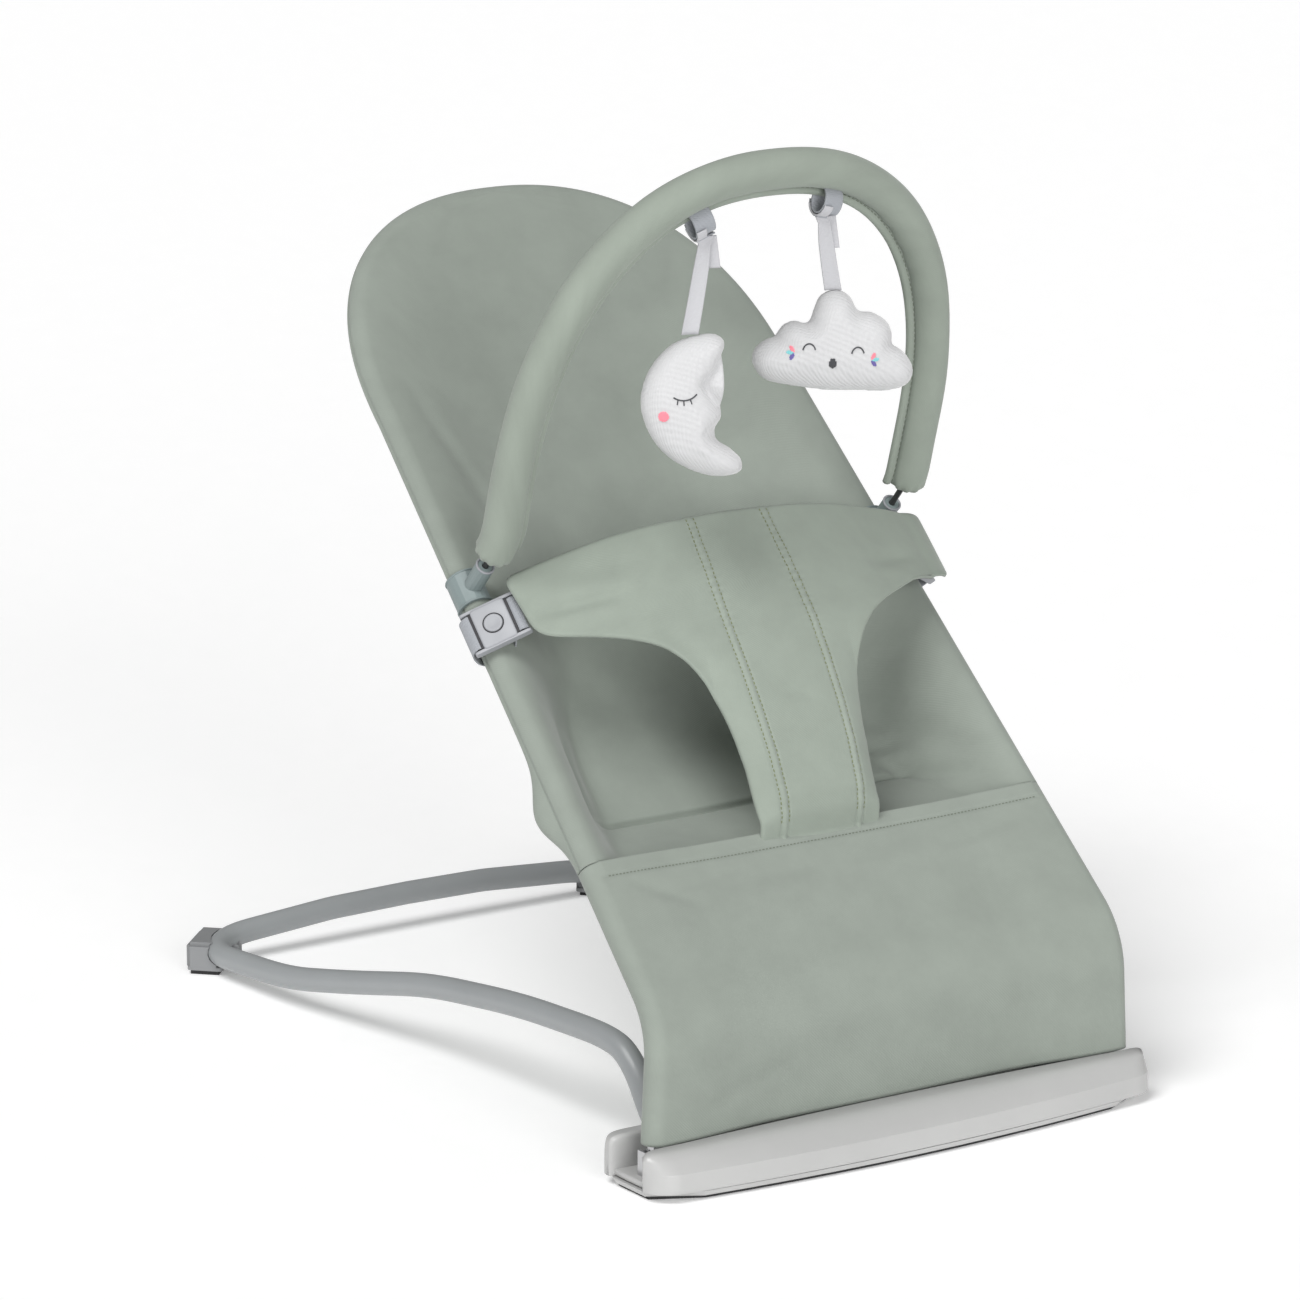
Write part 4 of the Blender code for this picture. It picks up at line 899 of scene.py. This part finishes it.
MOON = [(0.014, 0.053), (0.0245, 0.050), (0.0265, 0.042), (0.020, 0.030), (0.0135, 0.020), (0.0155, 0.011),
        (0.0235, 0.002), (0.0265, -0.006), (0.0215, -0.017), (0.0240, -0.024), (0.0330, -0.033), (0.0390, -0.042),
        (0.0365, -0.050), (0.0220, -0.052), (0.0040, -0.047), (-0.0150, -0.035), (-0.0270, -0.019),
        (-0.0330, 0.000), (-0.0310, 0.018), (-0.0220, 0.035), (-0.0080, 0.047)]
CLOUD = [(0.003, 0.0375), (0.013, 0.033), (0.020, 0.0225), (0.030, 0.0200), (0.040, 0.0130), (0.0440, 0.0040),
         (0.0440, -0.0030), (0.0530, -0.0110), (0.0585, -0.0230), (0.0540, -0.0340), (0.0400, -0.0380),
         (0.0180, -0.0375), (-0.0050, -0.0365), (-0.0280, -0.0330), (-0.0480, -0.0285), (-0.0570, -0.0190),
         (-0.0575, -0.0080), (-0.0490, 0.0010), (-0.0430, 0.0030), (-0.0380, 0.0110), (-0.0290, 0.0160),
         (-0.0190, 0.0150), (-0.0150, 0.0230), (-0.0080, 0.0340)]


def plush(name, outline, thick, place):
    """Stuffed shape: two sides bulge from the outline as the square root of the distance to it, then inflate."""
    ring = closed_curve(outline)
    builder = bmesh.new()
    verts = [builder.verts.new((x, 0, z)) for x, z in ring]
    builder.faces.new(verts)
    bmesh.ops.triangulate(builder, faces=builder.faces[:])
    mesh = bpy.data.meshes.new(name)
    builder.to_mesh(mesh)
    builder.free()
    made = bpy.data.objects.new(name, mesh)
    bpy.context.scene.collection.objects.link(made)
    wall = made.modifiers.new("wall", "SOLIDIFY")
    wall.thickness, wall.offset = 0.006, 0
    voxel = made.modifiers.new("voxel", "REMESH")
    voxel.mode, voxel.voxel_size = "VOXEL", 0.0018
    apply(made)
    points = read(made)
    swell = dome(nearest(points[:, [0, 2]], ring, 60) / 0.0165)
    points[:, 1] = np.sign(points[:, 1]) * (0.0012 + (thick / 2 - 0.0012) * swell) * np.clip(
        np.abs(points[:, 1]) / 0.0022, 0, 1)
    soft = ripple(points[:, 0], points[:, 2], 44, 0.006) * 0.0007
    points[:, 1] += soft * np.sign(points[:, 1]) * swell
    write(made, points)
    relax = made.modifiers.new("relax", "SMOOTH")
    relax.factor, relax.iterations = 0.5, 6
    apply(made)
    inflate(made, 0.0028)
    finer = made.modifiers.new("finer", "SUBSURF")
    finer.levels = finer.render_levels = 1
    apply(made)
    made.data.transform(place)
    made.data.shade_smooth()
    made.data.materials.append(PLUSH)
    return made


def read(obj):
    points = np.zeros(len(obj.data.vertices) * 3)
    obj.data.vertices.foreach_get("co", points)
    return points.reshape(-1, 3)


def write(obj, points):
    obj.data.vertices.foreach_set("co", points.astype(np.float32).ravel())
    obj.data.update()


def apply(obj):
    """Replaces the mesh with what its modifiers make of it."""
    graph = bpy.context.evaluated_depsgraph_get()
    mesh = bpy.data.meshes.new_from_object(obj.evaluated_get(graph))
    mesh.name = obj.name
    obj.modifiers.clear()
    obj.data = mesh


def inflate(obj, cap):
    """Cloth with inner pressure for twenty steps, with each point's travel capped."""
    rest = read(obj)
    cloth = obj.modifiers.new("Cloth", "CLOTH")
    settings = cloth.settings
    settings.use_pressure = True
    settings.uniform_pressure_force = 4.0
    settings.effector_weights.gravity = 0.0
    settings.tension_stiffness = settings.compression_stiffness = 12.0
    cloth.point_cache.frame_start, cloth.point_cache.frame_end = 1, 20
    scene = bpy.context.scene
    for step in range(1, 21):
        scene.frame_set(step)
    travel = read(obj.evaluated_get(bpy.context.evaluated_depsgraph_get())) - rest
    size = np.linalg.norm(travel, axis=1, keepdims=True)
    travel = travel * np.minimum(1.0, cap / np.maximum(size, 1e-9))
    obj.modifiers.clear()
    scene.frame_set(1)
    write(obj, rest + travel)


def on_front(tree, place, flat):
    """Points of the plush's front face under flat (x, z) marks, and its normals there."""
    turn = place.to_3x3()
    found, normals = [], []
    for x, z in flat:
        start = place @ Vector((x, -0.05, z))
        hit, normal, _, _ = tree.ray_cast(start, turn @ Vector((0, 1, 0)))
        found.append(hit if hit is not None else place @ Vector((x, 0, z)))
        normals.append(normal if normal is not None else turn @ Vector((0, -1, 0)))
    return np.array(found), np.array(normals)


def embroider(name, tree, place, flat, material, body, radius=0.00055):
    """Raised thread along a line drawn on the front face."""
    line, normals = on_front(tree, place, flat)
    made = swept(name, line + normals * radius * 0.35, radius, material, 8, uv=False)
    held(made, body, "white_plush")


def arc(centre, radius, low, high, squash=1.0, count=14):
    angle = np.radians(np.linspace(low, high, count))
    return np.stack([centre[0] + radius * np.cos(angle), centre[1] + radius * squash * np.sin(angle)], 1)


def satin(name, tree, place, centre, size, tilt, material, body, rows=9):
    """Patch of satin stitch: parallel threads that fill a pointed oval."""
    t = np.linspace(-0.9, 0.9, rows)
    turn = np.array([[math.cos(tilt), -math.sin(tilt)], [math.sin(tilt), math.cos(tilt)]])
    lines = []
    for k, u in enumerate(t):
        half = size[1] / 2 * math.sqrt(1 - u * u)
        ends = np.array([(u * size[0] / 2, -half), (u * size[0] / 2, half)])
        lines.append(ends if k % 2 else ends[::-1])
    flat = np.concatenate(lines)
    fine = np.concatenate([flat[i] + (flat[i + 1] - flat[i]) * np.linspace(0, 1, 5, endpoint=False)[:, None]
                           for i in range(len(flat) - 1)] + [flat[-1:]])
    embroider(name, tree, place, fine @ turn.T + np.asarray(centre), material, body, radius=size[0] / rows * 0.62)


def hang_place(node_name):
    low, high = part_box(node_name)
    return (low + high) / 2


def build_toys():
    turn = Matrix.Rotation(TOY_TURN, 4, "Z")
    moon_place = Matrix.Translation(hang_place("moon_toy")) @ turn
    moon = plush("moon_plush", MOON, 0.027, moon_place)
    held(moon, "moon", "white_plush", "moon_toy", pad=0.8)
    tree = surface(moon)
    lid = arc((-0.0045, 0.0205), 0.0125, 235, 318)
    embroider("moon_lid", tree, moon_place, lid, DARK_THREAD, "moon")
    for k, (x, z, dx) in enumerate(((-0.0085, 0.0086, -0.0006), (-0.0045, 0.0080, 0.0002), (0.0, 0.0090, 0.0012))):
        lash = np.linspace((x, z), (x + dx, z - 0.0036), 5)
        embroider(f"moon_lash_{k + 1}", tree, moon_place, lash, DARK_THREAD, "moon", 0.00045)
    satin("moon_cheek", tree, moon_place, (-0.0185, -0.0035), (0.0070, 0.0070), 0.3, PINK_THREAD, "moon", 10)
    cloud_place = Matrix.Translation(hang_place("cloud_toy")) @ turn
    cloud = plush("cloud_plush", CLOUD, 0.029, cloud_place)
    held(cloud, "cloud", "white_plush", "cloud_toy", pad=0.85)
    tree = surface(cloud)
    for label, x, z in (("left", -0.0195, -0.0045), ("right", 0.0155, -0.0080)):
        eye = arc((x, z), 0.0045, 12, 168, 1.25)
        embroider(f"cloud_eye_{label}", tree, cloud_place, eye, DARK_THREAD, "cloud")
    satin("cloud_mouth", tree, cloud_place, (-0.0025, -0.0135), (0.0050, 0.0068), 0.0, DARK_THREAD, "cloud", 6)
    for label, x, z, way in (("left", -0.0300, -0.0055, 1), ("right", 0.0255, -0.0120, -1)):
        for k, (angle, colour) in enumerate(((62, PINK_THREAD), (5, TEAL_THREAD), (-55, VIOLET_THREAD))):
            tilt = math.radians(180 - angle if way > 0 else angle)
            centre = (x + 0.0028 * math.cos(tilt), z + 0.0030 * math.sin(tilt))
            satin(f"cloud_leaf_{label}_{k + 1}", tree, cloud_place, centre, (0.0050, 0.0021), tilt, colour,
                  "cloud", 7)
    build_ribbons()


def build_ribbons():
    """Each toy's webbing loop under the bar, and the white ribbon that is looped through it."""
    for toy, x in TOYS_AT:
        strap_mid, strap_low = hang_place(f"{toy}_strap"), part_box(f"{toy}_strap")[0]
        along = bar_tangent(x)
        here = in_bar(x, bar_height(x))
        down = unit(np.array([0, 0, -1.0]) + along * along[2])
        centre = here + down * (0.0140 + 0.0082)
        side = np.cross(along, down)

        def oval(below, beside, angle, centre=centre, down=down, side=side):
            return centre + below * down * np.cos(angle)[:, None] + beside * side * np.sin(angle)[:, None]

        angle = np.linspace(0, 2 * np.pi, 60, endpoint=False)
        width = np.linspace(-0.0080, 0.0080, 16)
        ring = oval(0.0102, 0.0080, angle)
        outer = ring[:, None] + along * width[None, :, None]
        inner = outer + unit(centre - ring)[:, None] * 0.0014
        grid = np.concatenate([outer, inner[:, ::-1]], 1)
        faces = grid_faces(60, 32, close_rows=True, close_columns=True)
        loop = make(f"{toy}_webbing_loop", grid, faces, WEBBING, None, turn=True)
        uvs(loop)
        held(loop, toy, "pale_webbing", f"{toy}_loop")
        patch = oval(0.0114, 0.0092, np.linspace(-0.2, 1.5, 20))
        patch_grid = patch[:, None] + along * np.linspace(-0.0076, 0.0076, 10)[None, :, None]
        held(cloth_sheet(f"{toy}_webbing_lap", patch_grid, WEBBING, 0.0012, weld=0.0), toy, "pale_webbing")
        bottom = centre + down * 0.0110
        end = np.array([strap_mid.x, strap_mid.y, strap_low.z - 0.0030])
        t = np.linspace(0, 1, 40)[:, None]
        knee = bottom + np.array([0, 0, -0.012])
        run = quadratic(bottom, knee, end, t)
        face = np.array([math.cos(TOY_TURN), math.sin(TOY_TURN), 0.0])
        half = np.interp(t[:, 0], [0, 0.18, 0.5, 1], [0.0065, 0.0045, 0.0056, 0.0062])
        across = np.linspace(-1, 1, 12)
        cup = 0.0012 * (across ** 2)[None, :, None] * np.cross(face, [0, 0, 1])[None, None]
        ribbon = run[:, None] + face[None, None] * (half[:, None, None] * across[None, :, None]) + cup
        band = cloth_sheet(f"{toy}_ribbon", ribbon, RIBBON, 0.0009, weld=0.0)
        held(band, toy, "sage_fabric", f"{toy}_strap")
        tail_run = bottom + face * 0.0045 + np.array([0, 0, -0.024]) * t[:20] * 2 + face * 0.0030 * t[:20] * 2
        tail = tail_run[:, None] + face[None, None] * (0.0042 * np.linspace(-1, 1, 8)[None, :, None])
        tail = tail - np.cross(face, [0, 0, 1])[None, None] * 0.0016
        held(cloth_sheet(f"{toy}_ribbon_tail", tail, RIBBON, 0.0008, weld=0.0), toy, "sage_fabric")
        wrap = oval(0.0111, 0.0090, np.linspace(-1.25, 1.25, 24))
        wrap = wrap[:, None] + along * (np.linspace(-0.0085, -0.0005, 8)[None, :, None])
        held(cloth_sheet(f"{toy}_ribbon_turn", wrap, RIBBON, 0.0009, weld=0.0), toy, "sage_fabric")


def uvs(obj):
    """Flat map in metres from x and z, for small pieces whose grid wraps in both ways."""
    layer = obj.data.uv_layers.new(name="cloth")
    corners = np.zeros(len(obj.data.loops), np.int32)
    obj.data.loops.foreach_get("vertex_index", corners)
    points = read(obj)[corners]
    layer.data.foreach_set("uv", points[:, [0, 2]].astype(np.float32).ravel())


# ---- base -------------------------------------------------------------------------------------------
PLATE_HALF, PLATE_FRONT, PLATE_BOW, PLATE_REAR = 0.218, -0.014, 0.014, 0.062
SLOT_FRONT, SLOT_REAR = 0.0045, 0.048
BASE_HALF, BASE_REAR, BASE_CORNER = 0.190, 0.660, 0.042   # base tube: half width, rear crossbar, corner radius
REAR_RISE, CORNER_RISE = 0.0175, 0.0105                   # its height at the corner, and its rise after it
FOOT_INSET = 0.0123                                       # middle of a rear foot, in from the corner both ways


def lobe(name, front, back, profile, half):
    """Plate lobe: a profile of (share from front to back, height) carried across, its ends drawn in round."""
    x = half * np.sin(np.linspace(-np.pi / 2, np.pi / 2, 180))
    edge = np.clip((np.abs(x) - (half - 0.020)) / 0.020, 0, 1)
    round_off = 1 - np.sqrt(np.clip(1 - edge ** 2, 0, 1))
    y0, y1 = front(x, round_off), back(x, round_off)
    y = y0[:, None] + (y1 - y0)[:, None] * profile[None, :, 0]
    z = profile[None, :, 1] + 0 * y
    z = 0.0068 + (z - 0.0068) * (1 - 0.22 * round_off ** 2)[:, None]
    grid = np.stack([np.repeat(x[:, None], len(profile), 1), y, z], -1)
    grid = np.concatenate([np.repeat(grid[:1].mean(1, keepdims=True), len(profile), 1), grid,
                           np.repeat(grid[-1:].mean(1, keepdims=True), len(profile), 1)])
    return make(name, grid, grid_faces(*grid.shape[:2], close_columns=True), PLATE, weld=1e-7, turn=True)


def corner_profile(points, radius, steps=7):
    """Closed polygon with its corners rounded by quadratic curves of a given reach."""
    p = np.asarray(points, float)
    t = np.linspace(0, 1, steps)[:, None]
    parts = []
    for k, here in enumerate(p):
        before, after = p[k - 1], p[(k + 1) % len(p)]
        into = here + (before - here) * min(0.45, radius[k] / max(np.linalg.norm(before - here), 1e-9))
        out = here + (after - here) * min(0.45, radius[k] / max(np.linalg.norm(after - here), 1e-9))
        parts.append(quadratic(into, here, out, t))
    return np.concatenate(parts)


def build_plate():
    """Foot plate: a lobe in front of the seat's slot, a narrow one behind it and the deck between them."""
    def front_edge(x, round_off):
        return PLATE_FRONT - PLATE_BOW * (1 - (x / PLATE_HALF) ** 2) + 0.0175 * round_off

    def slot_front(x, round_off):
        return SLOT_FRONT + 0.0055 * np.clip(1 - (x / 0.185) ** 2, 0, 1)

    def slot_rear(x, round_off):
        return SLOT_REAR - 0.006 + 0.004 * round_off

    def rear_edge(x, round_off):
        return PLATE_REAR - 0.012 * round_off

    outline = [(0.02, 0.0072), (0.0, 0.0090), (0.055, 0.0212), (0.50, 0.0305), (1.0, 0.0366), (1.0, 0.0072)]
    front = lobe("plate_front_lobe", front_edge, slot_front, corner_profile(
        outline, [0.01, 0.01, 0.004, 0.1, 0.02, 0.02]), PLATE_HALF)
    held(front, "base", "gloss_plate", "plate_cover")
    outline = [(0.0, 0.0072), (0.0, 0.0340), (0.12, 0.0368), (0.75, 0.0360), (0.97, 0.0270), (1.0, 0.0072)]
    rear = lobe("plate_rear_lobe", slot_rear, rear_edge, corner_profile(
        outline, [0.05, 0.05, 0.05, 0.12, 0.08, 0.05]), PLATE_HALF)
    held(rear, "base", "gloss_plate")
    deck = block("plate_deck", (2 * PLATE_HALF - 0.006, 0.046, 0.0050), Matrix.Translation((0, 0.026, 0.0100)),
                 PLATE, 0.10)
    held(deck, "base", "gloss_plate")


BASE_ROUTE = np.array([(0.160, 0.030, 0.0195), (0.160, 0.066, 0.0195), (0.161, 0.080, 0.036),
                       (0.163, 0.092, 0.060),
                       (0.164, 0.110, 0.075), (0.165, 0.140, 0.078), (0.165, 0.243, 0.072), (0.168, 0.359, 0.058),
                       (0.178, 0.455, 0.037), (0.186, 0.530, 0.0225),
                       (BASE_HALF, BASE_REAR - BASE_CORNER, REAR_RISE)])


def base_path():
    """Right half of the base tube: rounded route along the leg, a quarter circle, then the rear crossbar."""
    leg = rounded_path(BASE_ROUTE, 0.35, 10)
    angle = np.linspace(0, np.pi / 2, 28)[:, None]
    rise = REAR_RISE + CORNER_RISE * 0.35 * (angle / (np.pi / 2)) ** 2
    corner = np.concatenate([BASE_HALF - BASE_CORNER * (1 - np.cos(angle)),
                             BASE_REAR - BASE_CORNER * (1 - np.sin(angle)), rise], 1)
    rear = np.array([(0.110, BASE_REAR, 0.0240), (0.070, BASE_REAR, 0.0270),
                     (0.0, BASE_REAR, REAR_RISE + CORNER_RISE)])
    return np.concatenate([leg[:-1], corner, rear])


def build_base():
    """Base tube with its path smoothed, and the ribs and flange of each rear foot."""
    smoothed = even(base_path(), 0.004)
    for _ in range(3):
        smoothed[1:-1] = (smoothed[:-2] + smoothed[1:-1] * 2 + smoothed[2:]) / 4
    tube = swept("base_tube", mirror_path(smoothed), TUBE, PAINT, 32)
    held(tube, "base", "painted_tube", "base_frame")
    for label, side in SIDES:
        centre = Vector((side * (BASE_HALF - FOOT_INSET), BASE_REAR - FOOT_INSET, 0.0))
        place = Matrix.Translation(centre) @ Matrix.Rotation(math.radians(45 if side > 0 else 135), 4, "Z")
        for k, along in enumerate((-0.013, -0.0045, 0.004, 0.0125)):
            rib = block(f"foot_rib_{k + 1}_{label}", (0.0080, 0.0016, 0.0140),
                        place @ Matrix.Translation((-0.0100, along, 0.0105)), FOOT, 0.25, (12, 20))
            held(rib, "base", "grey_plastic")
        flange = block(f"foot_flange_{label}", (0.0285, 0.0460, 0.0036),
                       place @ Matrix.Translation((0.0065, 0, 0.0050)), FOOT, 0.18)
        held(flange, "base", "grey_plastic")


def dress_solids():
    """Materials for the solids that stay as they are."""
    looks = {"seat_frame": PAINT, "plate_tray": PLATE, "plate_grip": RUBBER, "foot_pad": RUBBER, "rear_foot": FOOT,
             "toy_bar_clip": CLIP, "hinge": STEEL, "leg_clamp": FOOT}
    for name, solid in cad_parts.items():
        if solid.hide_render:
            continue
        for start, look in looks.items():
            if name.startswith(start):
                solid.data.materials.clear()
                solid.data.materials.append(look)


def build_clip_trim():
    """Lip at each socket's mouth and a ridge round each end of its collar."""
    for label, side in SIDES:
        place = rail_place(side, CLIP_DISTANCE)
        socket_x = side * BAR_HALF_WIDTH - side * float(rail_x(CLIP_DISTANCE))
        held(closed_ring(f"socket_lip_{label}", place @ Matrix.Translation((socket_x, 0, 0)), 40, 0.0064, 0.0009,
                         LILAC, height=SOCKET_HEIGHT), "seat", "grey_plastic")
        for end, y in (("low", -0.0125), ("high", 0.0125)):
            held(closed_ring(f"clip_ridge_{end}_{label}", place, 40, 0.0131, 0.0008, CLIP, 1, y),
                 "seat", "grey_plastic")


# ---- stage ------------------------------------------------------------------------------------------
def bearing(azimuth, elevation):
    """Unit vector towards a bearing in degrees, counted from the front and up from level."""
    turn, up = math.radians(azimuth), math.radians(elevation)
    return Vector((math.sin(turn) * math.cos(up), -math.cos(turn) * math.cos(up), math.sin(up)))


def build_stage():
    """Pale floor, white surroundings, two soft suns and the camera."""
    pale = moulded("pale_floor", (0.90, 0.90, 0.90), 0.75, amount=0.004)
    glow = pale.node_tree.nodes["Principled BSDF"]
    glow.inputs["Emission Color"].default_value = (1, 1, 1, 1)
    glow.inputs["Emission Strength"].default_value = 0.20
    corners = np.array([(-30, -30, 0), (30, -30, 0), (30, 30, 0), (-30, 30, 0)], float)
    floor = make("floor", corners, np.array([(0, 1, 2, 3)]), pale)
    scene = bpy.context.scene
    world = bpy.data.worlds.new("studio")
    world.use_nodes = True
    tree = world.node_tree
    soft = tree.nodes["Background"]
    soft.inputs["Color"].default_value = (1, 1, 1, 1)
    soft.inputs["Strength"].default_value = 0.24
    seen = node(tree, "ShaderNodeBackground", {"Color": (1, 1, 1, 1), "Strength": 1.0})
    ray, mix = node(tree, "ShaderNodeLightPath"), node(tree, "ShaderNodeMixShader")
    tree.links.new(ray.outputs["Is Camera Ray"], mix.inputs["Fac"])
    tree.links.new(soft.outputs["Background"], mix.inputs[1])
    tree.links.new(seen.outputs["Background"], mix.inputs[2])
    tree.links.new(mix.outputs["Shader"], tree.nodes["World Output"].inputs["Surface"])
    scene.world = world
    scene.view_settings.view_transform = "Standard"
    for name, turn, height, power, width in (("key", -70, 54, 2.2, 32), ("fill", -12, 12, 1.75, 34)):
        data = bpy.data.lights.new(name, "SUN")
        data.energy, data.angle = power, math.radians(width)
        lamp = bpy.data.objects.new(name, data)
        lamp.rotation_euler = bearing(turn, height).to_track_quat("Z", "Y").to_euler()
        scene.collection.objects.link(lamp)
    azimuth, elevation, away = -33.888, 14.284, 5.002
    aim = Vector((-0.0467, 0.25, 0.3173))
    back = bearing(azimuth, elevation)
    data = bpy.data.cameras.new("camera")
    data.lens, data.sensor_width = 191.94, 36.0
    data.clip_start, data.clip_end = 0.1, 100.0
    camera = bpy.data.objects.new("camera", data)
    camera.location = aim + back * away
    camera.rotation_euler = back.to_track_quat("Z", "Y").to_euler()
    scene.collection.objects.link(camera)
    scene.camera = camera


for build in (build_stage, build_seat_cloth, build_leg_cloth, build_harness, build_buckles, build_toy_bar,
              build_toys, build_plate, build_base, build_clip_trim, dress_solids):
    build()
